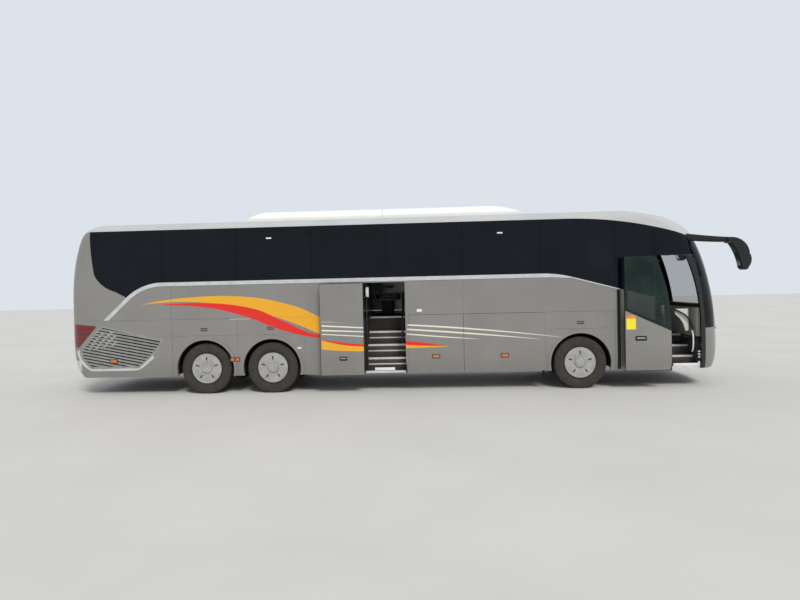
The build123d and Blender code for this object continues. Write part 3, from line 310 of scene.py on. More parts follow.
def gloss(name, tone, deep, rough=0.12):
    """Gloss enamel or moulding with a polished skin and faint wipe marks."""
    made, tree, shader = finish(name, {"Coat Weight": 0.3, "Coat Roughness": 0.04})
    fill(tree, shader, {
        "Base Color": speckle(tree, tone, deep, 300.0),
        "Roughness": clouds(tree, 35.0, rough * 0.8, rough * 1.6),
    })
    return made


def gelcoat():
    """Glass fibre with a white gelcoat: bright, slightly wavy, greyed in the pod's cross joint, with painted
    shade along its foot.
    """
    made, tree, shader = finish("white_gelcoat", {
        "Roughness": 0.32, "Coat Weight": 0.3, "Coat Roughness": 0.1,
    })
    x, z, _ = side_axes(tree)
    colour = speckle(tree, "#F5F6F3", "#EAEAE4", 700.0, 0.3, 0.7)
    # Painted shade: the pod's foot, below 3.54 m where it meets the roof, is greyed
    colour = over(tree, colour, both(tree, near(tree, z, 3.0, 3.54, 0.05), 0.35), "#C9C8C2")
    colour = over(tree, colour, near(tree, x, -3.840, -3.832, 0.003), "#8F8F8C")
    fill(tree, shader, {"Base Color": colour})
    relief(tree, shader, grain(tree, 240.0), 1.0)
    return made


def moulded(name, tone, deep, rough=0.5):
    """Moulded plastic with a fine leather grain that scatters light evenly."""
    made, tree, shader = finish(name, {})
    fill(tree, shader, {
        "Base Color": speckle(tree, tone, deep, 60.0),
        "Roughness": clouds(tree, 18.0, rough * 0.85, rough * 1.15),
    })
    relief(tree, shader, grain(tree, 2.5), 0.25)
    return made


def two_tone(name, split_z, lower, upper):
    """Grained moulding in two colours that meet at a height, as a dash with a dark top has."""
    made, tree, shader = finish(name, {"Roughness": 0.55})
    x, z, _ = side_axes(tree)
    # The side under the screen is dark as well, so that it doesn't mirror in the glass
    pale = both(tree, near(tree, z, -1.0, split_z), near(tree, x, -9.0, 2.42))
    colour = over(tree, srgb(upper), pale, lower)
    fill(tree, shader, {"Base Color": over(tree, colour, clouds(tree, 70.0, 0.0, 0.12), "#5A564E")})
    relief(tree, shader, grain(tree, 2.5), 0.3)
    return made


def metal(name, tone, deep, rough=0.3, metallic=1.0):
    """Drawn or rolled metal with faint clouding in its polish."""
    made, tree, shader = finish(name, {"Metallic": metallic})
    fill(tree, shader, {
        "Base Color": speckle(tree, tone, deep, 120.0),
        "Roughness": clouds(tree, 25.0, rough * 0.8, rough * 1.25),
    })
    return made


def wheel_lacquer():
    """Pressed steel sprayed silver, with brake dust in soft patches."""
    made, tree, shader = finish("silver_wheel_lacquer", {"Metallic": 0.55})
    dirt = clouds(tree, 45.0, 0.0, 0.40, 0.56, 0.80, 5.0)
    fill(tree, shader, {
        "Base Color": over(tree, speckle(tree, "#BDBCBA", "#ABAAA7", 140.0), dirt, "#57524B"),
        "Roughness": clouds(tree, 12.0, 0.30, 0.50),
    })
    return made


def chassis_paint(name, tone, deep):
    """Brushed-on chassis paint over rolled steel: semi-matt, with dried mud in soft patches."""
    made, tree, shader = finish(name, {})
    mud = clouds(tree, 210.0, 0.0, 0.6, 0.55, 0.72, 6.0)
    fill(tree, shader, {
        "Base Color": over(tree, speckle(tree, tone, deep, 80.0), mud, "#59534A"),
        "Roughness": clouds(tree, 30.0, 0.5, 0.8),
    })
    relief(tree, shader, grain(tree, 14.0), 0.8)
    return made


def tyre_rubber():
    """Vulcanised tyre rubber: matt black, greyed by road dust on the flanks."""
    made, tree, shader = finish("vulcanised_tyre_rubber", {"Roughness": 0.85})
    outward = add(tree, "Math", {"operation": "ABSOLUTE", 0: side_axes(tree)[2]})
    dusty = both(tree, near(tree, outward, 1.205, 1.5, 0.02), 0.45)
    colour = over(tree, speckle(tree, "#1E1D1C", "#33302C", 90.0), dusty, "#4B453E")
    fill(tree, shader, {"Base Color": colour})
    relief(tree, shader, grain(tree, 5.0), 0.4)
    return made


def sheet_vinyl(name, tone, deep, fleck):
    """Rolled safety vinyl: matt, flecked, with an even grit that stops feet slipping."""
    made, tree, shader = finish(name, {"Roughness": 0.7})
    # The real flecks are 2 mm; 9 mm ones still show in a render of the whole coach
    spots = clouds(tree, 9.0, 0.0, 1.0, 0.62, 0.66, 1.0)
    fill(tree, shader, {"Base Color": over(tree, speckle(tree, tone, deep, 400.0), spots, fleck)})
    relief(tree, shader, grain(tree, 3.0), 0.4)
    return made


def moquette():
    """Woven moquette: short blue-grey pile in ribs, with a thin warm pinstripe woven in."""
    made, tree, shader = finish("woven_moquette", {
        "Roughness": 0.95, "Sheen Weight": 0.4, "Sheen Roughness": 0.4,
    })
    y = side_axes(tree)[2]
    colour = speckle(tree, "#39415A", "#555D78", 30.0)
    line = add(tree, "MapRange", {"Value": ridges(tree, y, 75.0), "From Min": 0.93, "From Max": 0.97})
    fill(tree, shader, {"Base Color": over(tree, colour, line, "#B08A5A")})
    # Ribs 6 mm apart stand for threads of 1.5 mm, which would be too fine to show
    rib = both(tree, ridges(tree, y, 6.0), 0.3)
    relief(tree, shader, add(tree, "Math", {"operation": "ADD", 0: rib, 1: grain(tree, 4.0)}), 0.8)
    return made


def painted_flute_bands(tree, tone, deep, pitch_mm):
    """Colour of a lens over moulded flutes, pitch_mm apart in height: lighter and darker bands painted as the
    flutes' highlights and shade.
    """
    wave = ridges(tree, side_axes(tree)[1], pitch_mm)
    # Painted highlight and shade: the colour swings between two tones with the flutes
    return over(tree, srgb(tone), add(tree, "MapRange", {"Value": wave, "To Min": 0.3, "To Max": 0.7}), deep)


def lens(name, tone, deep, alpha=1.0, pitch_mm=9.0):
    """Polycarbonate lamp lens: a clear face over moulded flutes, with their highlights and shade painted in
    bands.
    """
    made, tree, shader = finish(name, {
        "Roughness": 0.12, "Coat Weight": 0.8, "Coat Roughness": 0.03, "Alpha": alpha,
    })
    fill(tree, shader, {"Base Color": painted_flute_bands(tree, tone, deep, pitch_mm)})
    return made


def tail_lens():
    """Smoked red polycarbonate in stacked cells: red, with one amber and one clear band low down."""
    made, tree, shader = finish("smoked_red_polycarbonate", {
        "Roughness": 0.12, "Coat Weight": 0.7, "Coat Roughness": 0.03,
    })
    z = side_axes(tree)[1]
    colour = painted_flute_bands(tree, "#7A0A12", "#4C060B", 14.0)
    colour = over(tree, colour, near(tree, z, 1.175, 1.235), "#6A1410")
    colour = over(tree, colour, near(tree, z, 1.085, 1.145), "#5E1A20")
    for seam in (1.07, 1.16, 1.25, 1.36):
        colour = over(tree, colour, near(tree, z, seam - 0.005, seam + 0.005, 0.003), "#0C0405")
    fill(tree, shader, {"Base Color": colour})
    return made


def paint(material, *names):
    """Gives CAD nodes one finish."""
    for name in names:
        mesh = NODES[name].data
        mesh.materials.clear()
        mesh.materials.append(material)


# Shape helpers

FACING = {
    "right": Matrix(((1, 0, 0), (0, 0, -1), (0, 1, 0))),
    "left": Matrix(((-1, 0, 0), (0, 0, 1), (0, 1, 0))),
    "front": Matrix(((0, 0, 1), (1, 0, 0), (0, 1, 0))),
    "rear": Matrix(((0, 0, -1), (-1, 0, 0), (0, 1, 0))),
    "top": Matrix.Identity(3),
}


def new_piece(name, bm, material, body, *stands_for):
    """A mesh object from a bmesh, with its finish, riding on a body."""
    bmesh.ops.recalc_face_normals(bm, faces=bm.faces[:])
    mesh = bpy.data.meshes.new(name)
    bm.to_mesh(mesh)
    bm.free()
    piece = bpy.data.objects.new(name, mesh)
    bpy.context.scene.collection.objects.link(piece)
    mesh.materials.append(material)
    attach(piece, body)
    if stands_for:
        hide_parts(*stands_for)
    return shade_smooth(piece)


def merged(bm, part, matrix=None):
    """Puts a part's mesh, moved by a matrix, into a piece's mesh."""
    if matrix is not None:
        bmesh.ops.transform(part, matrix=matrix, verts=part.verts[:])
    mesh = bpy.data.meshes.new("part")
    part.to_mesh(mesh)
    part.free()
    bm.from_mesh(mesh)
    bpy.data.meshes.remove(mesh)


def skin(*names):
    """Ray target made from CAD nodes at rest."""
    points = []
    faces = []
    for name in names:
        mesh = NODES[name].data
        start = len(points)
        points += [v.co.copy() for v in mesh.vertices]
        faces += [[start + i for i in p.vertices] for p in mesh.polygons]
    return BVHTree.FromPolygons(points, faces)


def inward(facing):
    """Direction into the coach from one of its faces."""
    return FACING[facing] @ Vector((0, 0, -1))


def before(facing, first, second):
    """Point in front of a face: forward of the front axle and up, or sideways and up, or x and y on top."""
    if facing in SIDE_SIGN:
        return ahead(first, SIDE_SIGN[facing] * BESIDE, second)
    if facing == "top":
        return Vector((first, second, ABOVE))
    return Vector((BEYOND if facing == "front" else -BEYOND, first, second))


def turned_to(facing, middle):
    """Matrix that takes a shape made facing up to a point on a face."""
    return Matrix.Translation(middle) @ FACING[facing].to_4x4()


def landing(tree, facing, start):
    """Where a ray from a point in front of a face meets the skin."""
    for nudge in (0.0, 0.015, -0.015, 0.03, -0.03):
        # A slot right in front of the point is stepped over
        found = tree.ray_cast(start + Vector((0, 0, nudge)), inward(facing))[0]
        if found is not None:
            return found - Vector((0, 0, nudge))
    raise RuntimeError("nothing in front of %s from the %s" % (start, facing))


def slab(bm, facing, middle, size, corner=0.0, rim=0.0):
    """Plate of (width, height, thickness) with round corners and a soft rim; middle is on its face."""
    part = bmesh.new()
    bmesh.ops.create_cube(part, size=1.0)
    bmesh.ops.scale(part, vec=size, verts=part.verts[:])
    bmesh.ops.translate(part, vec=(0, 0, -size[2] / 2), verts=part.verts[:])
    if corner:
        upright = [e for e in part.edges if abs(e.verts[0].co.z - e.verts[1].co.z) > size[2] / 2]
        soften(part, upright, corner, 4)
    if rim:
        soften(part, [e for e in part.edges if min(v.co.z for v in e.verts) > -1e-6], rim, 2)
    merged(bm, part, turned_to(facing, middle))


def soften(part, edges, width, steps):
    """Rounds edges off."""
    bmesh.ops.bevel(
        part, geom=edges, offset=width, offset_type="OFFSET", segments=steps, profile=0.5,
        affect="EDGES", material=-1,
    )


def block(bm, low, high, rim=0.004):
    """Box between two corners with rounded edges."""
    part = bmesh.new()
    bmesh.ops.create_cube(part, size=1.0)
    low, high = Vector(low), Vector(high)
    bmesh.ops.scale(part, vec=high - low, verts=part.verts[:])
    soften(part, part.edges[:], rim, 2)
    merged(bm, part, Matrix.Translation((low + high) / 2))


def flat_sheet(width, height, across, up, corner):
    """Flat grid round the origin, with its four corners rounded."""
    part = bmesh.new()
    bmesh.ops.create_grid(part, x_segments=across, y_segments=up, size=0.5)
    bmesh.ops.scale(part, vec=(width, height, 1.0), verts=part.verts[:])
    if corner:
        tips = [v for v in part.verts if len(v.link_edges) == 2]
        bmesh.ops.bevel(
            part, geom=tips, offset=corner, offset_type="OFFSET", segments=4, profile=0.5,
            affect="VERTICES", material=-1,
        )
    return part


def pressed(bm, tree, facing, middle, width, height, corner, proud, depth, cuts):
    """Plate that follows the CAD surface behind middle and stands proud of it."""
    part = flat_sheet(width, height, cuts, cuts, corner)
    bmesh.ops.transform(part, matrix=turned_to(facing, middle), verts=part.verts[:])
    into = inward(facing)
    for v in part.verts:
        v.co = landing(tree, facing, v.co) - into * proud
    draw_out(part, part.faces[:], into * depth)
    merged(bm, part)


def draw_out(part, faces, way):
    """Gives a sheet of faces its thickness along a vector."""
    drawn = bmesh.ops.extrude_face_region(part, geom=faces)["geom"]
    bmesh.ops.translate(part, vec=way, verts=[g for g in drawn if isinstance(g, bmesh.types.BMVert)])


def extrusion(bm, outline, way, rim=0.0):
    """Closed solid from an outline of points, drawn out along a vector."""
    part = bmesh.new()
    face = part.faces.new([part.verts.new(p) for p in outline])
    draw_out(part, [face], Vector(way))
    if rim:
        soften(part, part.edges[:], rim, 2)
    merged(bm, part)


def tube(bm, points, radius, cyclic=False, kind="NURBS"):
    """Round tube along points, bent smoothly between them."""
    curve = bpy.data.curves.new("tube", "CURVE")
    curve.dimensions = "3D"
    curve.bevel_depth = radius
    curve.bevel_resolution = 3
    curve.use_fill_caps = True
    curve.resolution_u = 8
    line = curve.splines.new(kind)
    line.points.add(len(points) - 1)
    for point, place_at in zip(line.points, points):
        point.co = (*place_at, 1.0)
    if kind == "NURBS":
        line.order_u = 3
        line.use_endpoint_u = True
    line.use_cyclic_u = cyclic
    holder = bpy.data.objects.new("tube", curve)
    mesh = bpy.data.meshes.new_from_object(holder)
    bm.from_mesh(mesh)
    bpy.data.objects.remove(holder)
    bpy.data.curves.remove(curve)
    bpy.data.meshes.remove(mesh)


def turned(bm, points, centre, facing, steps=24):
    """Turned shape from (height, radius) points, standing out of a face."""
    part = bmesh.new()
    verts = [part.verts.new((radius, 0.0, height)) for height, radius in points]
    edges = [part.edges.new(pair) for pair in zip(verts[:-1], verts[1:])]
    bmesh.ops.spin(
        part, geom=verts + edges, cent=(0, 0, 0), axis=(0, 0, 1), dvec=(0, 0, 0),
        angle=2 * math.pi, steps=steps, use_merge=True, use_duplicate=False,
    )
    bmesh.ops.remove_doubles(part, verts=part.verts[:], dist=1e-5)
    merged(bm, part, turned_to(facing, centre))


def ahead(x, y, z):
    """Point given by its distance forward of the front axle."""
    return Vector((FRONT_AXLE_X + x, y, z))


def shade_smooth(piece, degrees=35.0):
    """Smooth shading apart from creases sharper than an angle."""
    piece.data.shade_smooth()
    piece.data.set_sharp_from_angle(angle=math.radians(degrees))
    return piece


def spun(bm, points, centre, steps):
    """Closed ring from (y offset, radius) points, spun about a wheel's centre line."""
    verts = [bm.verts.new((centre[0], centre[1] + dy, centre[2] + r)) for dy, r in points]
    edges = [bm.edges.new((verts[i], verts[(i + 1) % len(verts)])) for i in range(len(verts))]
    bmesh.ops.spin(
        bm, geom=verts + edges, cent=centre, axis=(0, 1, 0), dvec=(0, 0, 0),
        angle=2 * math.pi, steps=steps, use_merge=True, use_duplicate=False,
    )


# Settings

class CoachPaint(bpy.types.PropertyGroup):
    """Colours and light."""

    key_strength: FloatProperty(
        name="Key light", description="Strength of the soft sun", default=2.2, min=0.0,
    )
    sky_strength: FloatProperty(
        name="Sky", description="Strength of the pale sky on the coach", default=0.75, min=0.0,
    )


class CoachTyres(bpy.types.PropertyGroup):
    """Tread sizes."""

    grooves: IntProperty(name="Grooves", description="Grooves round each tread", default=4, min=1, max=8)
    groove_depth: FloatProperty(
        name="Groove depth", description="Depth of the tread grooves", default=0.011, unit="LENGTH",
    )


class CoachSeats(bpy.types.PropertyGroup):
    """Sizes of the seat pads."""

    pad_width: FloatProperty(
        name="Pad width", description="Width of a seat pad", default=0.435, unit="LENGTH",
    )
    pad_depth: FloatProperty(
        name="Pad depth", description="Depth of a seat pad", default=0.435, unit="LENGTH",
    )
    back_height: FloatProperty(
        name="Back height", description="Height of a back pad", default=0.60, unit="LENGTH",
    )
    swell: FloatProperty(
        name="Swell", description="Most that the cloth swells a pad", default=0.016, unit="LENGTH", min=0.0,
    )


class CoachFittings(bpy.types.PropertyGroup):
    """Sizes of the small fittings on the sides."""

    marker_width: FloatProperty(
        name="Marker width", description="Width of a side marker", default=0.125, unit="LENGTH",
    )
    marker_height: FloatProperty(
        name="Marker height", description="Height of a side marker", default=0.058, unit="LENGTH",
    )
    plate_width: FloatProperty(
        name="Plate width", description="Width of a blank plate", default=0.52, unit="LENGTH",
    )
    plate_height: FloatProperty(
        name="Plate height", description="Height of a blank plate", default=0.113, unit="LENGTH",
    )


class COACH_OT_paint_shell(bpy.types.Operator):
    """Paint the body panels, roof and cooling unit"""

    bl_idname = "coach.paint_shell"
    bl_label = "Paint the body shell"

    def execute(self, context):
        grey = enamel("warm_grey_metallic_enamel", "#908E8A", "#888682", WALL_STRIPES)
        paint(
            grey, "wall_right", "wall_left", "tail_wall", "nose_mask", "bumpers", "engine_lid",
            "front_door_leaf", "flap_right_front", "flap_right_rear",
            "flap_left_front", "flap_left_mid", "flap_left_rear",
        )
        paint(enamel("striped_grey_enamel", "#908E8A", "#888682", MID_LEAF_STRIPES), "mid_door_leaf")
        paint(enamel("silver_metallic_enamel", "#D0D1D0", "#C5C7C6", (), 0.15), "roof")
        paint(gelcoat(), "cooling_pod")
        paint(moulded("grained_white_plastic", "#DCDBD5", "#D2D1CB", 0.55), "roof_hatch")
        return {"FINISHED"}


class COACH_OT_glaze(bpy.types.Operator):
    """Glaze the windows and screens"""

    bl_idname = "coach.glaze"
    bl_label = "Glaze the windows"

    def execute(self, context):
        paint(side_panes(), "side_glass")
        paint(screen_glass(0.97, 1.20, 2.84), "windshield")
        paint(door_glass(), "front_door_glass")
        paint(gloss("black_gloss_enamel", "#0C0E12", "#12151A"), "window_frames", "front_door_frame")
        return {"FINISHED"}


class COACH_OT_fit_trim(bpy.types.Operator):
    """Finish the mouldings, grilles, lamps, mirrors and wipers"""

    bl_idname = "coach.fit_trim"
    bl_label = "Finish the trim"

    def execute(self, context):
        paint(metal("satin_anodised_aluminium", "#DCDDDD", "#CFD0D1", 0.35, 0.55), "waist_mouldings")
        # The grilles are painted a darker aluminium than the mouldings: painted shade of the slats
        paint(metal("grille_aluminium_painted_shade", "#A4A4A1", "#959592", 0.45, 0.5), "grilles")
        paint(moulded("black_moulded_plastic", "#151515", "#1D1D1D", 0.5), "mirrors", "wipers")
        paint(lens("clear_polycarbonate", "#E4E8EA", "#C9CED2", 0.13), "headlamps")
        paint(tail_lens(), "tail_lamps")
        return {"FINISHED"}


# Lamps and latches on the sides: (forward of the front axle, height)

SIDE_MARKERS = [(-2.81, 0.686), (-1.468, 0.683), (-9.314, 0.693)]
SMALL_MARKERS = [(-6.870, 0.691), (-6.775, 0.691)]
SMALL_MARKER_WIDTH = 0.07
LATCHES = [(-7.442, 1.303), (-6.090, 1.305), (0.001, 1.297)]
ARCH_LAMP = (-5.524, 0.899)
# Width, height and thickness of their plates, and how much wider and higher a marker's rim is than its lens
MARKER_BORDER = (0.030, 0.026)
LATCH_FRAME = (0.150, 0.078, 0.012)
# The latch's dark middle plate is painted shade of a recess: it stands 0.8 mm proud of the frame
LATCH_SHADE_PLATE = (0.128, 0.056, 0.010)
LATCH_BAR = (0.104, 0.020, 0.010)
ARCH_LAMP_SIZE = (0.085, 0.034, 0.010)
SIDE_SKIN = {
    "right": ("wall_right", "flap_right_front", "flap_right_rear", "grilles", "side_glass", "tail_wall"),
    "left": ("wall_left", "flap_left_front", "flap_left_mid", "flap_left_rear", "grilles", "side_glass",
             "tail_wall"),
}
FLAP_SPANS = [
    ("right", "flap_right_front_body", -2.26, -0.67), ("right", "flap_right_rear_body", -3.34, -2.26),
    ("left", "flap_left_front_body", -2.26, -0.67), ("left", "flap_left_mid_body", -3.83, -2.26),
    ("left", "flap_left_rear_body", -5.40, -3.83),
]


def carrier(side, x, z):
    """Body that a fitting on a side rides on: a luggage flap, or the coach itself."""
    for flap_side, body, rear, front in FLAP_SPANS:
        if side == flap_side and rear < x < front and 0.37 < z < 1.51:
            return body
    return "coach"


class COACH_OT_fit_side_lamps(bpy.types.Operator):
    """Fit the amber side markers, the small lamps and the latches on both sides"""

    bl_idname = "coach.fit_side_lamps"
    bl_label = "Fit the side lamps"

    def execute(self, context):
        sizes = context.scene.coach_fittings
        amber = lens("amber_polycarbonate", "#D0783A", "#A85A26", 1.0, 7.0)
        bezel = moulded("dark_lamp_bezel", "#3A3733", "#2C2A27", 0.5)
        clear = lens("milky_polycarbonate", "#E6E8E8", "#C4C8C9", 1.0, 6.0)
        latch = moulded("grey_latch_plastic", "#83817D", "#767470", 0.45)
        # Painted shade for the middle of each latch
        recess_shade = moulded("latch_recess_painted_shade", "#3E3E40", "#303032", 0.6)
        for side, nodes in SIDE_SKIN.items():
            tree = skin(*nodes)
            out = -inward(side)
            groups = {}
            for x, z in SIDE_MARKERS + SMALL_MARKERS:
                wide = sizes.marker_width if (x, z) in SIDE_MARKERS else SMALL_MARKER_WIDTH
                body = carrier(side, x, z)
                rims, faces = groups.setdefault(body, (bmesh.new(), bmesh.new()))
                at = landing(tree, side, before(side, x, z))
                high = sizes.marker_height
                rim = (wide + MARKER_BORDER[0], high + MARKER_BORDER[1], 0.016)
                slab(rims, side, at + out * 0.006, rim, 0.012, 0.002)
                slab(faces, side, at + out * 0.011, (wide, high, 0.012), 0.009, 0.004)
            for body, (rims, faces) in groups.items():
                new_piece("marker_rims_%s_%s" % (side, body), rims, bezel, body)
                new_piece("marker_lenses_%s_%s" % (side, body), faces, amber, body)
            frames, shade_plates = bmesh.new(), bmesh.new()
            for x, z in LATCHES:
                at = landing(tree, side, before(side, x, z)) + out * 0.003
                slab(frames, side, at, LATCH_FRAME, 0.010, 0.002)
                # Dark plate: painted shade where the latch's grip would be recessed
                slab(shade_plates, side, at + out * 0.0008, LATCH_SHADE_PLATE, 0.008)
                slab(frames, side, at + out * 0.003, LATCH_BAR, 0.005, 0.002)
            new_piece("latch_frames_%s" % side, frames, latch, "coach")
            new_piece("latch_recess_shade_%s" % side, shade_plates, recess_shade, "coach")
            bm = bmesh.new()
            at = landing(tree, side, before(side, *ARCH_LAMP))
            slab(bm, side, at + out * 0.006, ARCH_LAMP_SIZE, 0.006, 0.002)
            new_piece("arch_lamp_%s" % side, bm, clear, "coach")
        return {"FINISHED"}


# Labels on the wall: (forward of the front axle, height), (width, height), corner

WALL_LABELS = [((-3.122, 1.597), (0.099, 0.053), 0.006), ((-6.092, 3.098), (0.105, 0.026), 0.004),
               ((-1.517, 3.080), (0.105, 0.026), 0.004)]
# Labels on the front door: colour, place, height, how proud it stands, its two tones
DOOR_LABELS = [
    ("yellow", (0.903, 1.262), 0.208, 0.0015, ("#F4E12C", "#EAD520")),
    ("orange", (0.903, 1.397), 0.060, 0.0018, ("#E98A3C", "#DD7C30")),
]
# Plates: face, panels behind them, height of the middle, how proud the holder stands, body
PLATES = [
    ("front", ("nose_mask", "bumpers"), 0.735, 0.005, "coach"),
    ("rear", ("engine_lid",), 1.55, 0.001, "engine_lid_body"),
]


class COACH_OT_fit_labels(bpy.types.Operator):
    """Fit the blank plates and the blank labels"""

    bl_idname = "coach.fit_labels"
    bl_label = "Fit the blank plates"

    def execute(self, context):
        sizes = context.scene.coach_fittings
        white = gloss("white_pressed_plate", "#EDEDE8", "#E2E2DC", 0.3)
        holder = moulded("black_plate_holder", "#1A1A1A", "#222222", 0.5)
        vinyl = gloss("white_label_vinyl", "#E9ECEE", "#DDE1E4", 0.35)
        wide, high = sizes.plate_width, sizes.plate_height
        for facing, nodes, z, proud, body in PLATES:
            tree = skin(*nodes)
            start = before(facing, 0.0, z)
            bm = bmesh.new()
            pressed(bm, tree, facing, start, wide + 0.03, high + 0.03, 0.012, proud, 0.008, 10)
            new_piece("plate_holder_" + facing, bm, holder, body)
            bm = bmesh.new()
            pressed(bm, tree, facing, start, wide, high, 0.009, proud + 0.0015, 0.004, 10)
            new_piece("blank_plate_" + facing, bm, white, body)
        tree = skin("wall_right", "side_glass")
        bm = bmesh.new()
        for at, (wide, high), corner in WALL_LABELS:
            pressed(bm, tree, "right", before("right", *at), wide, high, corner, 0.0015, 0.004, 4)
        new_piece("blank_labels", bm, vinyl, "coach")
        tree = skin("front_door_leaf", "front_door_glass")
        for colour, at, high, proud, tones in DOOR_LABELS:
            bm = bmesh.new()
            pressed(bm, tree, "right", before("right", *at), 0.176, high, 0.008, proud, 0.004, 4)
            new_piece("blank_%s_label" % colour, bm, gloss(colour + "_label_vinyl", *tones, 0.35), "coach")
        return {"FINISHED"}


# Open leaves and doorways: (forward of the front axle, height)

FRONT_SEAL = [(0.792, 0.365), (1.659, 0.365), (1.657, 1.250), (1.594, 1.860), (1.392, 2.540), (0.792, 2.552)]
MID_SEAL = [(-5.060, 0.361), (-4.209, 0.361), (-4.209, 2.159), (-5.060, 2.159)]
LEAF_SEAL_Y = -1.452
LIP_Y = -1.262
DOORWAY_LIPS = [
    ((-4.226, 0.372), (-4.226, 2.170)), ((-3.394, 0.372), (-3.394, 2.170)),
    ((-4.226, 2.170), (-3.394, 2.170)), ((1.432, 0.372), (1.432, 2.555)),
]
# Handles: forward of the front axle, height, and the cup's width and height
DOOR_HANDLES = [(1.085, 0.985, 0.215, 0.093), (-4.615, 0.694, 0.150, 0.081)]


class COACH_OT_fit_doors(bpy.types.Operator):
    """Fit the seals, handles and post trims of the two open doors"""

    bl_idname = "coach.fit_doors"
    bl_label = "Fit the door fittings"

    def execute(self, context):
        rubber = moulded("extruded_door_rubber", "#131313", "#1C1C1C", 0.75)
        bm = bmesh.new()
        for outline in (FRONT_SEAL, MID_SEAL):
            tube(bm, [ahead(x, LEAF_SEAL_Y, z) for x, z in outline], 0.009, True, "POLY")
        # Rubber lips on the body round both doorways; the screen pillar has none
        for ends in DOORWAY_LIPS:
            tube(bm, [ahead(x, LIP_Y, z) for x, z in ends], 0.010, False, "POLY")
        new_piece("door_seals", bm, rubber, "coach")
        cup = moulded("black_handle_cup", "#17181B", "#222328", 0.45)
        bright = metal("chromed_zinc", "#D5D6D8", "#C4C5C8", 0.18)
        cups, pulls = bmesh.new(), bmesh.new()
        tree = skin("front_door_leaf", "mid_door_leaf")
        for x, z, wide, high in DOOR_HANDLES:
            at = landing(tree, "right", before("right", x, z))
            slab(cups, "right", at + Vector((0, -0.004, 0)), (wide, high, 0.012), 0.012, 0.003)
            at += Vector((0, -0.013, 0.006))
            slab(pulls, "right", at, (wide * 0.72, high * 0.28, 0.008), 0.006, 0.002)
        new_piece("door_handle_cups", cups, cup, "coach")
        new_piece("door_handle_pulls", pulls, bright, "coach")
        # Black strip on the body just behind the front doorway's leaf
        bm = bmesh.new()
        start = before("right", 0.735, 1.15)
        pressed(bm, skin("wall_right"), "right", start, 0.060, 1.55, 0.0, 0.004, 0.010, 14)
        new_piece("black_strip_behind_front_leaf", bm, rubber, "coach")
        return {"FINISHED"}


# Stairs: treads as (sideways, height) in metres

FRONT_STEPS = [(-1.190, 0.400), (-0.960, 0.585), (-0.710, 0.770), (-0.330, 0.960)]
MID_STEPS = [(-1.190, 0.400), (-1.000, 0.645), (-0.810, 0.895), (-0.620, 1.150), (-0.330, 1.440)]
# Steps, ends of their nosings forward of the front axle, and how far the carpet stays back from those ends
STAIRS = [(FRONT_STEPS, 1.412, 2.278, 0.008), (MID_STEPS, -4.205, -3.415, 0.010)]
KICK_STRIPS = 3
# Nosing's section, and its grooves behind the tread's edge, as (sideways, height)
NOSING = [(-0.004, -0.032), (0.0, -0.032), (0.0, 0.0), (0.034, 0.0), (0.034, 0.004), (-0.004, 0.004)]
NOSING_GROOVES = (0.008, 0.017, 0.026)
# Moulded panel beside the front steps, as (forward of the front axle, height)
SIDE_PANEL = [(1.90, 1.51), (2.16, 1.51), (2.16, 1.075), (2.10, 1.075), (2.06, 1.22), (1.99, 1.33),
              (1.90, 1.41)]
# Rails: the mid ones as (sideways, height), the others as (forward of the front axle, sideways, height)
FRONT_RAIL = [(1.84, -1.04, 1.52), (2.02, -1.06, 1.44), (2.16, -1.06, 1.31), (2.23, -1.06, 1.15),
              (2.235, -1.05, 0.98)]
MID_RAIL = [(-1.12, 0.95), (-1.10, 1.15), (-0.80, 1.62), (-0.42, 1.98), (-0.36, 1.90), (-0.36, 1.445)]
GRAB_RAIL = [(2.188, -1.10, 1.08), (2.192, -1.15, 1.05), (2.192, -1.15, 0.72), (2.188, -1.10, 0.68)]


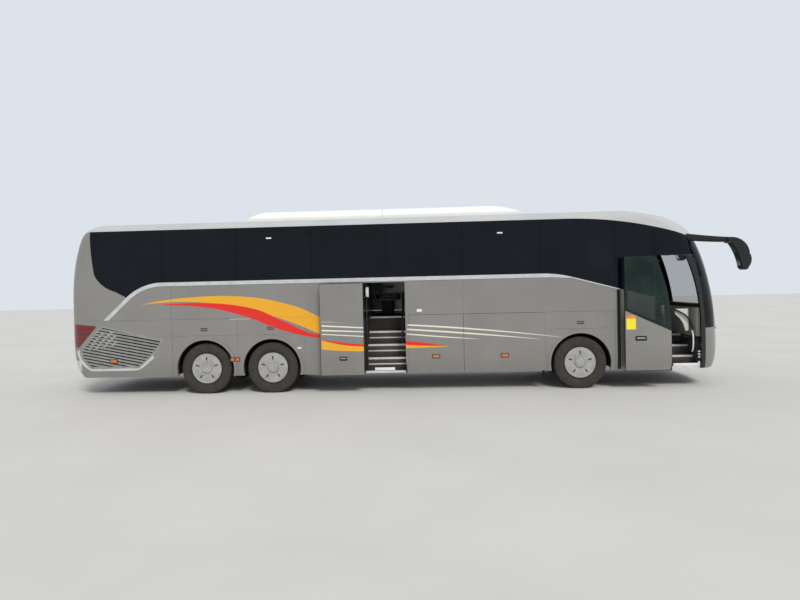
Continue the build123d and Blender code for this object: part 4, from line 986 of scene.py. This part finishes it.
class COACH_OT_fit_entries(bpy.types.Operator):
    """Fit the stair nosings, kick strips, handrails and side panels of both entries"""

    bl_idname = "coach.fit_entries"
    bl_label = "Fit the entries"

    def execute(self, context):
        alloy = metal("ribbed_stair_aluminium", "#E2E3E3", "#CFD1D1", 0.45, 0.35)
        bm = bmesh.new()
        for steps, rear, front, _ in STAIRS:
            for i, (y, z) in enumerate(steps):
                extrusion(bm, [ahead(rear, y + dy, z + dz) for dy, dz in NOSING], (front - rear, 0, 0))
                for groove in NOSING_GROOVES:
                    line = [ahead(x, y + groove, z + 0.004) for x in (rear, front)]
                    tube(bm, line, 0.0022, False, "POLY")
                if steps is MID_STEPS and i < KICK_STRIPS:
                    next_y, next_z = steps[i + 1]
                    middle = z + (next_z - z) * 0.48
                    low = ahead(rear, next_y - 0.006, middle - 0.014)
                    block(bm, low, ahead(front, next_y + 0.002, middle + 0.014), 0.002)
        new_piece("stair_nosings", bm, alloy, "coach")
        mat = sheet_vinyl("brown_stair_carpet", "#4B423E", "#3C3531", "#6A5F58")
        bm = bmesh.new()
        for steps, rear, front, gap in STAIRS:
            rear, front = rear + gap, front - gap
            for (y, z), (next_y, next_z) in zip(steps[:-1], steps[1:]):
                block(bm, ahead(rear, y + 0.036, z + 0.0005), ahead(front, next_y - 0.001, z + 0.004), 0.001)
                high = ahead(front, next_y - 0.0005, next_z - 0.033)
                block(bm, ahead(rear, next_y - 0.004, z + 0.004), high, 0.001)
        new_piece("stair_carpet", bm, mat, "coach")
        plate = gloss("white_sill_plate", "#E8E9E8", "#DADCDB", 0.4)
        bm = bmesh.new()
        block(bm, ahead(-4.03, -1.198, 0.412), ahead(-3.63, -1.160, 0.470), 0.006)
        block(bm, ahead(1.79, -1.198, 0.405), ahead(2.27, -1.160, 0.460), 0.006)
        new_piece("sill_plates", bm, plate, "coach")
        cream = moulded("cream_moulded_panel", "#D8D6CC", "#CCCABF", 0.5)
        bm = bmesh.new()
        extrusion(bm, [ahead(x, -1.02, z) for x, z in SIDE_PANEL], (0, 0.05, 0), 0.006)
        new_piece("entry_side_panel", bm, cream, "coach")
        dark = gloss("black_coated_steel", "#151517", "#1E1E21", 0.3)
        bm = bmesh.new()
        tube(bm, [ahead(*p) for p in FRONT_RAIL], 0.017)
        # Rails beside the mid stair, from the doorway up to the deck
        for x in (-4.150, -3.470):
            tube(bm, [ahead(x, y, z) for y, z in MID_RAIL], 0.016)
        new_piece("entry_rails", bm, dark, "coach")
        bm = bmesh.new()
        tube(bm, [ahead(*p) for p in GRAB_RAIL], 0.015)
        block(bm, ahead(-4.185, -1.165, 1.88), ahead(-4.125, -1.135, 2.08), 0.006)
        new_piece("white_grab_rail", bm, gloss("white_coated_steel", "#E6E7E6", "#D8DAD9", 0.3), "coach")
        return {"FINISHED"}


# Seats: the shell's outline and the pads' middles as (behind the cushion's front, above the floor)

SHELL = [(0.02, 0.33), (0.02, 0.378), (0.50, 0.368), (0.592, 1.05), (0.62, 1.125), (0.65, 1.105), (0.64, 1.0),
         (0.56, 0.40), (0.49, 0.31)]
ROW_PITCH = 0.815
FIRST_ROW_X = 0.480
ROWS = 12
DECK_Z = 1.440
CAB_FLOOR_Z = 0.960
BACK_LEAN = math.radians(7.7)
CUSHION_TILT = math.radians(-2.0)
CUSHION_AT = (0.235, 0.418)
BACK_AT = (0.518, 0.765)
HEAD_AT = (0.535, 0.985)
DRIVER_SEAT = (FRONT_AXLE_X + 2.000, 0.660, CAB_FLOOR_Z)
SEAT_YS = (0.4675, 0.9225)
# No seats stand over the mid stair
STAIR_GAP = (-4.9, -3.25)
SHELL_HALF = 0.222
CLOTH_FRAMES = 16


def seat_places():
    """(front edge, middle sideways, floor) of every seat."""
    places = [DRIVER_SEAT]
    for row in range(ROWS):
        x = FIRST_ROW_X - row * ROW_PITCH
        for sign in (-1, 1):
            if sign < 0 and STAIR_GAP[0] < x < STAIR_GAP[1]:
                continue
            places += [(FRONT_AXLE_X + x, sign * y, DECK_Z) for y in SEAT_YS]
    return places


def pad_form(width, depth, thick, channels):
    """Soft pad: rounded block with sewn channels; returns its mesh and the places of its stitches."""
    part = bmesh.new()
    bmesh.ops.create_cube(part, size=1.0)
    bmesh.ops.subdivide_edges(part, edges=part.edges[:], cuts=9, use_grid_fill=True)
    for v in part.verts:
        # A slightly pillowed block: corners pull in, the middle keeps its width
        pull = 1.0 - 0.10 * (abs(v.co.x * 2) ** 3) * (abs(v.co.y * 2) ** 3)
        v.co.x *= pull
        v.co.y *= pull
    bmesh.ops.scale(part, vec=(width, depth, thick), verts=part.verts[:])
    for _ in range(2):
        bmesh.ops.smooth_vert(
            part, verts=part.verts[:], factor=0.5, use_axis_x=True, use_axis_y=True, use_axis_z=True,
        )
    stitches = []
    for v in part.verts:
        near_channel = any(abs(v.co.x - c * width) < width * 0.03 for c in channels)
        if near_channel and v.co.z > 0:
            stitches.append(v.index)
            v.co.z -= 0.010
        if v.co.z < -thick * 0.3:
            stitches.append(v.index)
    return part, stitches


def swollen(name, part, stitches, cap):
    """The pad after its cover is blown up by cloth simulation, with no point moved by more than cap."""
    mesh = bpy.data.meshes.new(name)
    part.to_mesh(mesh)
    part.free()
    scene = bpy.context.scene
    rest = [v.co.copy() for v in mesh.vertices]
    pad = bpy.data.objects.new(name, mesh)
    scene.collection.objects.link(pad)
    held = pad.vertex_groups.new(name="stitches")
    held.add(stitches, 1.0, "REPLACE")
    cloth = pad.modifiers.new("cover", "CLOTH")
    cloth.settings.use_pressure = True
    cloth.settings.uniform_pressure_force = 4.0
    cloth.settings.effector_weights.gravity = 0.0
    cloth.settings.vertex_group_mass = held.name
    cloth.point_cache.frame_start = 1
    cloth.point_cache.frame_end = CLOTH_FRAMES
    for frame_number in range(1, CLOTH_FRAMES + 1):
        scene.frame_set(frame_number)
    graph = bpy.context.evaluated_depsgraph_get()
    blown = bpy.data.meshes.new_from_object(pad.evaluated_get(graph))
    for v, home in zip(blown.vertices, rest):
        step = v.co - home
        if step.length > cap:
            v.co = home + step * (cap / step.length)
    bpy.data.objects.remove(pad)
    bpy.data.meshes.remove(mesh)
    scene.frame_set(1)
    return blown


def laid(bm, pad, matrix):
    """One pad's mesh at one place in a piece."""
    part = bmesh.new()
    part.from_mesh(pad)
    merged(bm, part, matrix)


class COACH_OT_fit_seats(bpy.types.Operator):
    """Build the seats: moulded shells, swollen pads, arm rests and legs"""

    bl_idname = "coach.fit_seats"
    bl_label = "Fit the seats"

    def execute(self, context):
        sizes = context.scene.coach_seats
        cover = moquette()
        # A cushion's depth runs fore and aft; a back pad's height runs up, and its face looks forward
        lying = Matrix.Rotation(CUSHION_TILT, 4, "Y") @ Matrix.Rotation(math.radians(90.0), 4, "Z")
        upright = Matrix(((0, -math.sin(BACK_LEAN), math.cos(BACK_LEAN)),
                          (1, 0, 0),
                          (0, math.cos(BACK_LEAN), math.sin(BACK_LEAN)))).to_4x4()
        pads = [
            ("seat_cushions", sizes.pad_width, sizes.pad_depth, 0.080, (-0.30, 0.30), CUSHION_AT, lying),
            ("seat_backs", sizes.pad_width - 0.01, sizes.back_height, 0.062, (-0.28, 0.28), BACK_AT, upright),
            ("head_rests", 0.30, 0.17, 0.060, (), HEAD_AT, upright),
        ]
        for name, wide, long, thick, channels, (back, up), turn in pads:
            part, stitches = pad_form(wide, long, thick, channels)
            pad = swollen(name + "_pad", part, stitches, sizes.swell)
            bm = bmesh.new()
            for x, y, floor in seat_places():
                laid(bm, pad, Matrix.Translation((x - back, y, floor + up)) @ turn)
            new_piece(name, bm, cover, "coach")
        shells, legs = bmesh.new(), bmesh.new()
        for x, y, floor in seat_places():
            outline = [(x - dx, y - SHELL_HALF, floor + dz) for dx, dz in SHELL]
            extrusion(shells, outline, (0, 2 * SHELL_HALF, 0), 0.006)
            block(legs, (x - 0.40, y - 0.10, floor + 0.001), (x - 0.16, y + 0.10, floor + 0.335), 0.01)
            for rest_y in (y - SHELL_HALF, y + SHELL_HALF):
                block(shells, (x - 0.50, rest_y - 0.018, floor + 0.600),
                      (x - 0.18, rest_y + 0.018, floor + 0.640), 0.014)
        plastic = moulded("grey_seat_shell_plastic", "#4A4C50", "#404246", 0.5)
        new_piece("seat_shells", shells, plastic, "coach", "seats")
        new_piece("seat_legs", legs, chassis_paint("black_powder_coat", "#232324", "#2C2C2D"), "coach")
        return {"FINISHED"}


# Dash: rays towards it start behind it; a dial is (sideways, radius)

BEHIND_DASH = FRONT_AXLE_X + 1.8
DIALS = [(0.56, 0.048), (0.66, 0.048), (0.75, 0.032)]
DIAL_Z = 1.585
SWITCH_Z = 1.30
SWITCH_YS = [0.43 + 0.062 * i for i in range(8)]


class COACH_OT_fit_cabin(bpy.types.Operator):
    """Finish the floors and steps, and fit the dash's dials, switches and inner mirror"""

    bl_idname = "coach.fit_cabin"
    bl_label = "Fit the cabin"

    def execute(self, context):
        paint(sheet_vinyl("flecked_floor_vinyl", "#3A3B3D", "#45464A", "#6F7074"), "deck", "stairwells")
        paint(two_tone("two_tone_dash_plastic", 1.53, "#D8D6CC", "#222223"), "dash")
        paint(moulded("black_grained_plastic", "#202021", "#2A2A2B", 0.45), "hand_wheel")
        paint(metal("mill_aluminium", "#A2A4A5", "#8F9193", 0.45), "luggage_bay")
        tree = skin("dash")
        bezels, faces = bmesh.new(), bmesh.new()
        for y, radius in DIALS:
            at = landing(tree, "rear", Vector((BEHIND_DASH, y, DIAL_Z)))
            turned(bezels, [(0.0, radius), (0.010, radius), (0.012, radius - 0.004), (0.006, radius - 0.008),
                            (0.004, 0.0)], at, "rear", 24)
            turned(faces, [(0.0045, radius - 0.009), (0.0055, 0.012), (0.0055, 0.0)], at, "rear", 24)
        for y in SWITCH_YS:
            at = landing(tree, "rear", Vector((BEHIND_DASH, y, SWITCH_Z)))
            slab(bezels, "rear", at - Vector((0.004, 0, 0)), (0.042, 0.024, 0.008), 0.004, 0.002)
        new_piece("dash_bezels", bezels, moulded("black_switch_plastic", "#141415", "#1C1C1D", 0.4), "coach")
        new_piece("dial_faces", faces, gloss("printed_dial_face", "#D9DAD6", "#CFCFCB", 0.35), "coach")
        bm = bmesh.new()
        slab(bm, "rear", ahead(2.17, 0.0, 2.66), (0.36, 0.115, 0.022), 0.03, 0.006)
        tube(bm, [ahead(2.185, 0.0, 2.70), ahead(2.21, 0.0, 2.80), ahead(2.20, 0.0, 2.90)], 0.009)
        case = moulded("black_mirror_plastic", "#161617", "#1F1F20", 0.45)
        new_piece("inner_mirror_case", bm, case, "coach")
        bm = bmesh.new()
        slab(bm, "rear", ahead(2.1655, 0.0, 2.66), (0.335, 0.092, 0.004), 0.025)
        new_piece("inner_mirror_glass", bm, metal("silvered_glass", "#DDE1E4", "#D2D7DB", 0.04), "coach")
        return {"FINISHED"}


# Nose: outlines (sideways, height), bowls (sideways, height, radius), turned sections (outward, radius)

HEADLAMP_BACK = [(-0.515, 0.768), (-0.855, 0.740), (-0.922, 0.800), (-0.936, 0.925), (-0.855, 0.968),
                 (-0.550, 0.872)]
LAMP_BOWLS = [(0.610, 0.822, 0.044), (0.735, 0.836, 0.058), (0.862, 0.852, 0.062)]
BOWL_SUNK = 0.016
BACK_SUNK = 0.064
BULB = [(-0.038, 0.011), (-0.018, 0.012), (-0.011, 0.008), (-0.008, 0.0)]
FOG_LAMP = (0.70, 0.52)
FOG_RIM = [(-0.012, 0.056), (0.004, 0.056), (0.008, 0.051), (0.004, 0.045), (-0.010, 0.042), (-0.010, 0.0)]
FOG_LENS = [(-0.008, 0.044), (0.001, 0.044), (0.006, 0.030), (0.008, 0.0)]
# Bright line under the screen: (sideways, length)
SILL_LINE_Z = 1.136
SILL_LINE = [(-0.62, 0.52), (0.62, 0.52), (0.0, 0.72)]


class COACH_OT_fit_nose(bpy.types.Operator):
    """Fit the headlamps' insides, the fog lamps and the bright line under the screen"""

    bl_idname = "coach.fit_nose"
    bl_label = "Fit the nose"

    def execute(self, context):
        tree = skin("headlamps")
        bezels, bowls, bulbs = bmesh.new(), bmesh.new(), bmesh.new()
        for sign in (-1, 1):
            for y, z, radius in LAMP_BOWLS:
                at = landing(tree, "front", before("front", sign * y, z)) - Vector((BOWL_SUNK, 0, 0))
                bowl = [(0.0, radius), (-0.014, radius * 0.86), (-0.030, radius * 0.6), (-0.040, 0.0)]
                rim = [(0.0, radius), (0.003, radius + 0.003), (0.0, radius + 0.006),
                       (-0.045, radius + 0.004), (-0.045, 0.0)]
                turned(bowls, bowl, at, "front", 28)
                turned(bowls, rim, at, "front", 28)
                turned(bulbs, BULB, at, "front", 14)
            part = bmesh.new()
            outline = [before("front", -sign * y, z) for y, z in HEADLAMP_BACK]
            face = part.faces.new([part.verts.new(p) for p in outline])
            bmesh.ops.triangulate(part, faces=[face])
            bmesh.ops.subdivide_edges(part, edges=part.edges[:], cuts=3, use_grid_fill=True)
            for v in part.verts:
                v.co = landing(tree, "front", v.co) - Vector((BACK_SUNK, 0, 0))
            draw_out(part, part.faces[:], Vector((-0.003, 0, 0)))
            merged(bezels, part)
        new_piece("headlamp_backs", bezels, moulded("black_lamp_housing", "#17181A", "#202124", 0.4), "coach")
        coated = metal("vacuum_coated_reflector", "#E3E6E8", "#D5D9DC", 0.12)
        new_piece("headlamp_bowls", bowls, coated, "coach")
        new_piece("headlamp_bulbs", bulbs, gloss("bulb_glass", "#F2F1E6", "#E6E5DA", 0.1), "coach")
        tree = skin("nose_mask")
        bm = bmesh.new()
        for y, length in SILL_LINE:
            start = before("front", y, SILL_LINE_Z)
            pressed(bm, tree, "front", start, length, 0.008, 0.0, 0.004, 0.008, 14)
        strip = metal("polished_aluminium_strip", "#E0E1E2", "#D2D3D5", 0.2)
        new_piece("screen_sill_line", bm, strip, "coach")
        tree = skin("bumpers")
        rims, glass = bmesh.new(), bmesh.new()
        for sign in (-1, 1):
            at = landing(tree, "front", before("front", sign * FOG_LAMP[0], FOG_LAMP[1]))
            turned(rims, FOG_RIM, at, "front", 28)
            turned(glass, FOG_LENS, at, "front", 28)
        new_piece("fog_lamp_rims", rims, moulded("black_fog_lamp_rim", "#1B1B1D", "#242427", 0.4), "coach")
        new_piece("fog_lamp_lenses", glass, lens("fluted_fog_glass", "#DADFE2", "#AEB5BA", 1.0, 8.0), "coach")
        return {"FINISHED"}


# Plates on the tail: panels, then ((sideways, height), (width, height), corner, proud, depth, cuts)

HIGH_LAMP = (("tail_wall", "side_glass"), [((0.0, 3.225), (0.52, 0.030), 0.0, 0.004, 0.010, 12)])
REFLECTORS = (("bumpers",), [((y, 0.565), (0.150, 0.042), 0.008, 0.006, 0.012, 5) for y in (-0.86, 0.86)])
REVERSING = (("bumpers",), [((y, 0.565), (0.090, 0.042), 0.008, 0.006, 0.012, 5) for y in (-0.62, 0.62)])
LID_FITTINGS = (("engine_lid",), [((0.0, 1.655), (0.46, 0.030), 0.010, 0.0045, 0.010, 9),
                                  ((0.0, 0.815), (0.22, 0.034), 0.010, 0.012, 0.020, 6)])
CORNER_LAMP = (-10.062, 0.612)


def on_tail(*groups):
    """The plates of some groups, pressed on the tail."""
    bm = bmesh.new()
    for nodes, plates in groups:
        tree = skin(*nodes)
        for at, (wide, high), corner, proud, depth, cuts in plates:
            pressed(bm, tree, "rear", before("rear", *at), wide, high, corner, proud, depth, cuts)
    return bm


class COACH_OT_fit_tail(bpy.types.Operator):
    """Fit the high brake lamp, reflectors, plate lamp and lid handle"""

    bl_idname = "coach.fit_tail"
    bl_label = "Fit the tail"

    def execute(self, context):
        red = lens("red_polycarbonate", "#8E1118", "#5F0A0F", 1.0, 6.0)
        new_piece("rear_reflectors", on_tail(HIGH_LAMP, REFLECTORS), red, "coach")
        clear = lens("clear_reversing_lens", "#DDE0E2", "#B7BCC0", 1.0, 6.0)
        new_piece("reversing_lamps", on_tail(REVERSING), clear, "coach")
        black = moulded("black_tail_plastic", "#1A1A1C", "#242427", 0.45)
        new_piece("plate_lamp_and_lid_handle", on_tail(LID_FITTINGS), black, "engine_lid_body")
        tree = skin("bumpers")
        bm = bmesh.new()
        for side in SIDE_SIGN:
            pressed(bm, tree, side, before(side, *CORNER_LAMP), 0.150, 0.215, 0.018, 0.006, 0.016, 8)
        new_piece("corner_lamps", bm, lens("clear_corner_lens", "#D5D6D2", "#A9A39A", 1.0, 12.0), "coach")
        return {"FINISHED"}


# Cooling unit's two grilles: bars in a row, their pitch, and where the rows start; then the hatch's middle

POD_BARS = 9
POD_BAR_PITCH = 0.035
POD_GRILLES = (-1.75, 1.15)
HATCH_X = -4.373


class COACH_OT_fit_roof(bpy.types.Operator):
    """Fit the grille bars in the cooling unit's top and the hatch's panel"""

    bl_idname = "coach.fit_roof"
    bl_label = "Fit the roof"

    def execute(self, context):
        tree = skin("cooling_pod")
        bm = bmesh.new()
        for i in range(POD_BARS):
            for y in (-0.42, 0.42):
                for first in POD_GRILLES:
                    start = before("top", first + POD_BAR_PITCH * i, y)
                    pressed(bm, tree, "top", start, 0.016, 0.52, 0.0, 0.0015, 0.006, 6)
        new_piece("pod_grille_bars", bm, moulded("grey_grille_plastic", "#7C7E80", "#6B6D6F", 0.5), "coach")
        tree = skin("roof_hatch")
        bm = bmesh.new()
        pressed(bm, tree, "top", before("top", HATCH_X, 0.0), 0.54, 0.54, 0.03, 0.006, 0.010, 8)
        smoked = moulded("smoked_hatch_plastic", "#54575A", "#4A4D50", 0.3)
        new_piece("hatch_panel", bm, smoked, "roof_hatch_body")
        return {"FINISHED"}


# Mirror glasses as (sideways, height, their own height)

GLASSES = [(-1.405, 2.505, 0.36), (1.405, 2.652, 0.17)]


class COACH_OT_fit_mirrors(bpy.types.Operator):
    """Fit the glasses on the backs of the mirror heads"""

    bl_idname = "coach.fit_mirrors"
    bl_label = "Fit the mirror glasses"

    def execute(self, context):
        tree = skin("mirrors")
        bm = bmesh.new()
        for y, z, high in GLASSES:
            pressed(bm, tree, "rear", ahead(2.3, y, z), 0.124, high, 0.012, 0.003, 0.006, 8)
        new_piece("mirror_glasses", bm, metal("silvered_mirror_glass", "#DDE1E4", "#D2D7DB", 0.04), "coach")
        return {"FINISHED"}


# Splash sheets: how far fore and aft of the axle, from side to side, and in height

SPLASH_REACH = 0.620
SPLASH_YS = (0.552, 1.205)
SPLASH_ZS = (0.385, 0.700)


class COACH_OT_fit_chassis(bpy.types.Operator):
    """Finish the axles, subframes, engine and housings, and fit the splash sheets"""

    bl_idname = "coach.fit_chassis"
    bl_label = "Fit the chassis"

    def execute(self, context):
        black = chassis_paint("black_chassis_paint", "#1E1E1E", "#2B2927")
        paint(black, "subframes", "front_axle", "drive_axle", "tag_axle")
        paint(moulded("black_housing_plastic", "#1A1A1A", "#262423", 0.75), "wheel_housings")
        paint(gloss("black_coated_arm_steel", "#1A1A1C", "#232326", 0.35), "door_arms")
        paint(metal("sand_cast_iron", "#4A4846", "#3A3836", 0.6), "knuckle_left", "knuckle_right", "engine")
        # Splash sheets that carry each wheel housing's ends down to the sill
        bm = bmesh.new()
        for axle in (FRONT_AXLE_X, DRIVE_AXLE_X, TAG_AXLE_X):
            for x in (axle - SPLASH_REACH, axle + SPLASH_REACH):
                for sign in (-1, 1):
                    low_y, high_y = sorted(sign * y for y in SPLASH_YS)
                    block(bm, (x - 0.003, low_y, SPLASH_ZS[0]), (x + 0.003, high_y, SPLASH_ZS[1]), 0.002)
        new_piece("splash_sheets", bm, moulded("black_splash_sheet", "#191919", "#25231F", 0.75), "coach")
        return {"FINISHED"}


WHEELS = [
    ("front_right", FRONT_AXLE_X, (-SINGLE_Y,)),
    ("front_left", FRONT_AXLE_X, (SINGLE_Y,)),
    ("drive_right", DRIVE_AXLE_X, (-SINGLE_Y, -SINGLE_Y + TWIN_PITCH)),
    ("drive_left", DRIVE_AXLE_X, (SINGLE_Y, SINGLE_Y - TWIN_PITCH)),
    ("tag_right", TAG_AXLE_X, (-SINGLE_Y,)),
    ("tag_left", TAG_AXLE_X, (SINGLE_Y,)),
]


# Tread: its radius, and half a groove's width at the top and at the bottom
TREAD_RADIUS = 0.5085
GROOVE_TOP = 0.006
GROOVE_BOTTOM = 0.004
# Wheel covers: slots, the angle between two, and how far their middles are from the hub
COVER_SLOTS = 5
SLOT_PITCH = math.radians(360.0 / COVER_SLOTS)
SLOT_MIDDLE = 0.192
# Ring round the cover's hub, as (outward, radius)
COVER_RING = [(-0.004, 0.046), (0.0015, 0.045), (0.0025, 0.041), (0.0015, 0.037), (-0.004, 0.036)]


def slot_shade_sheet(bm, tree, side, axle, angle):
    """Dark sheet over one slot of a wheel cover, lying on the cover's turned face: painted shade of the slot.
    """
    hub = Vector((axle, SIDE_SIGN[side] * 2.0, TYRE_RADIUS))
    part = flat_sheet(0.078, 0.034, 6, 3, 0.014)
    for v in part.verts:
        # A drop: it narrows towards the hub
        v.co.y *= 0.70 + v.co.x / 0.13
    lie = Matrix.Rotation(angle, 4, "Z") @ Matrix.Translation((SLOT_MIDDLE, 0, 0))
    bmesh.ops.transform(part, matrix=FACING[side].to_4x4() @ lie, verts=part.verts[:])
    for v in part.verts:
        # The cover is turned, so its face halfway between two slots has the same height
        beside = Matrix.Rotation(SLOT_PITCH / 2, 3, "Y") @ v.co
        face_y = landing(tree, side, hub + beside).y
        v.co = Vector((axle + v.co.x, face_y, TYRE_RADIUS + v.co.z)) - inward(side) * 0.0008
    draw_out(part, part.faces[:], inward(side) * 0.005)
    merged(bm, part)


class COACH_OT_shoe_wheels(bpy.types.Operator):
    """Mould the tyres with their tread and finish the wheels"""

    bl_idname = "coach.shoe_wheels"
    bl_label = "Shoe the wheels"

    def execute(self, context):
        sizes = context.scene.coach_tyres
        rubber = tyre_rubber()
        half = TYRE_WIDTH / 2
        crown = []
        pitch = 1.56 * half / (sizes.grooves + 1)
        for i in range(sizes.grooves):
            y = -0.78 * half + pitch * (i + 1)
            low = TREAD_RADIUS - sizes.groove_depth
            crown += [(y - GROOVE_TOP, TREAD_RADIUS), (y - GROOVE_BOTTOM, low)]
            crown += [(y + GROOVE_BOTTOM, low), (y + GROOVE_TOP, TREAD_RADIUS)]
        section = [
            (-0.72 * half, 0.287), (-0.75 * half, 0.306), (-0.9 * half, 0.345), (-0.985 * half, 0.385),
            (-0.995 * half, 0.41), (-0.97 * half, 0.44), (-0.93 * half, 0.465), (-0.90 * half, 0.485),
            (-0.86 * half, 0.500), (-0.80 * half, 0.507),
        ]
        section = section + crown + [(-y, r) for y, r in reversed(section)]
        for name, axle, centres in WHEELS:
            bm = bmesh.new()
            for y in centres:
                spun(bm, section, (axle, y, TYRE_RADIUS), 96)
            tyre = new_piece("tread_" + name, bm, rubber, "wheel_" + name, "tyre_" + name)
            shade_smooth(tyre, 40.0)
        paint(wheel_lacquer(), *["rim_" + w[0] for w in WHEELS])
        # Painted shade: dark sheets over the wheel cover slots
        slot_shade = moulded("wheel_slot_painted_shade", "#141414", "#1D1C1B", 0.7)
        ring = metal("polished_cover_ring", "#C9CACB", "#BABBBC", 0.25, 0.7)
        for name, axle, centres in WHEELS:
            side = "right" if centres[0] < 0 else "left"
            tree = skin("rim_" + name)
            bm = bmesh.new()
            for i in range(COVER_SLOTS):
                slot_shade_sheet(bm, tree, side, axle, math.radians(90.0) + SLOT_PITCH * i)
            new_piece("cover_slot_shade_" + name, bm, slot_shade, "wheel_" + name)
            bm = bmesh.new()
            at = landing(tree, side, Vector((axle, SIDE_SIGN[side] * 2.0, TYRE_RADIUS)))
            turned(bm, COVER_RING, at, side, 32)
            new_piece("cover_ring_" + name, bm, ring, "wheel_" + name)
        return {"FINISHED"}


# The photograph's camera: turned left, tipped and rolled, in degrees

CAMERA_TURN = (2.87, -1.46, -1.33)
CAMERA_AT = (FRONT_AXLE_X - 2.904, -13.09, 2.111)
CAMERA_LENS = 27.05
SUN_TURN = (48.0, 0.0, 22.0)


class COACH_OT_build_stage(bpy.types.Operator):
    """Lay the pale floor and set the light and the camera"""

    bl_idname = "coach.build_stage"
    bl_label = "Build the stage"

    def execute(self, context):
        look = context.scene.coach_paint
        bm = bmesh.new()
        bmesh.ops.create_grid(bm, x_segments=1, y_segments=1, size=60.0)
        mesh = bpy.data.meshes.new("stage_floor")
        bm.to_mesh(mesh)
        bm.free()
        floor = bpy.data.objects.new("stage_floor", mesh)
        context.scene.collection.objects.link(floor)
        made, tree, shader = finish("pale_stage", {"Roughness": 0.9})
        fill(tree, shader, {"Base Color": speckle(tree, "#D2D0CC", "#CDCBC7", 2500.0)})
        mesh.materials.append(made)

        world = bpy.data.worlds.new("pale_sky")
        world.use_nodes = True
        tree = world.node_tree
        tree.nodes.clear()
        rays = add(tree, "LightPath", {})
        seen = add(tree, "Background", {"Color": srgb("#DCE3EA"), "Strength": 1.0})
        sky = add(tree, "Background", {"Color": srgb("#E6EBF2"), "Strength": look.sky_strength})
        mixed = add(tree, "MixShader", {0: rays.outputs["Is Camera Ray"], 1: sky, 2: seen})
        add(tree, "OutputWorld", {"Surface": mixed})
        context.scene.world = world

        sun = bpy.data.lights.new("soft_sun", "SUN")
        sun.energy = look.key_strength
        sun.angle = math.radians(18.0)
        sun.color = (1.0, 0.97, 0.92)
        lamp = bpy.data.objects.new("soft_sun", sun)
        lamp.rotation_euler = [math.radians(a) for a in SUN_TURN]
        # No bare disc of light shows in the lacquer or the glass
        lamp.visible_glossy = False
        context.scene.collection.objects.link(lamp)

        camera = bpy.data.cameras.new("photo_camera")
        camera.sensor_width = 36.0
        camera.lens = CAMERA_LENS
        camera.clip_end = 200.0
        eye = bpy.data.objects.new("photo_camera", camera)
        yaw, pitch, roll = (math.radians(a) for a in CAMERA_TURN)
        forward = Vector((-math.sin(yaw), math.cos(yaw), 0.0))
        right = Vector((math.cos(yaw), math.sin(yaw), 0.0))
        up = Vector((0.0, 0.0, 1.0))
        onward = forward * math.cos(pitch) + up * math.sin(pitch)
        above = up * math.cos(pitch) - forward * math.sin(pitch)
        across = right * math.cos(roll) + above * math.sin(roll)
        top = above * math.cos(roll) - right * math.sin(roll)
        turn = Matrix((across, top, -onward)).transposed()
        eye.matrix_world = Matrix.Translation(CAMERA_AT) @ turn.to_4x4()
        context.scene.collection.objects.link(eye)
        context.scene.camera = eye
        context.scene.view_settings.view_transform = "Standard"
        return {"FINISHED"}


class COACH_PT_panel(bpy.types.Panel):
    """The coach's pieces, in the order they are made"""

    bl_idname = "COACH_PT_panel"
    bl_label = "Coach"
    bl_space_type = "VIEW_3D"
    bl_region_type = "UI"
    bl_category = "Coach"

    def draw(self, context):
        for name in SETTINGS:
            group = getattr(context.scene, name)
            for key in group.__annotations__:
                self.layout.prop(group, key)
        for step in STEPS:
            self.layout.operator(step.bl_idname)


STEPS = [
    COACH_OT_paint_shell, COACH_OT_glaze, COACH_OT_fit_trim, COACH_OT_fit_side_lamps, COACH_OT_fit_labels,
    COACH_OT_fit_doors, COACH_OT_fit_entries, COACH_OT_fit_seats, COACH_OT_fit_cabin, COACH_OT_fit_nose,
    COACH_OT_fit_tail, COACH_OT_fit_roof, COACH_OT_fit_mirrors, COACH_OT_fit_chassis, COACH_OT_shoe_wheels,
    COACH_OT_build_stage,
]
SETTINGS = {
    "coach_paint": CoachPaint, "coach_tyres": CoachTyres, "coach_seats": CoachSeats,
    "coach_fittings": CoachFittings,
}
CLASSES = [*SETTINGS.values(), *STEPS, COACH_PT_panel]


def register():
    """Register the classes and hang the settings on the scene."""
    for made in CLASSES:
        bpy.utils.register_class(made)
    for name, group in SETTINGS.items():
        setattr(bpy.types.Scene, name, PointerProperty(type=group))


def unregister():
    """Take the settings and classes away again."""
    for name in SETTINGS:
        delattr(bpy.types.Scene, name)
    for made in reversed(CLASSES):
        bpy.utils.unregister_class(made)


def main():
    """Dress the coach."""
    register()
    for step in STEPS:
        getattr(bpy.ops.coach, step.bl_idname.split(".")[1])()


if __name__ == "__main__":
    main()
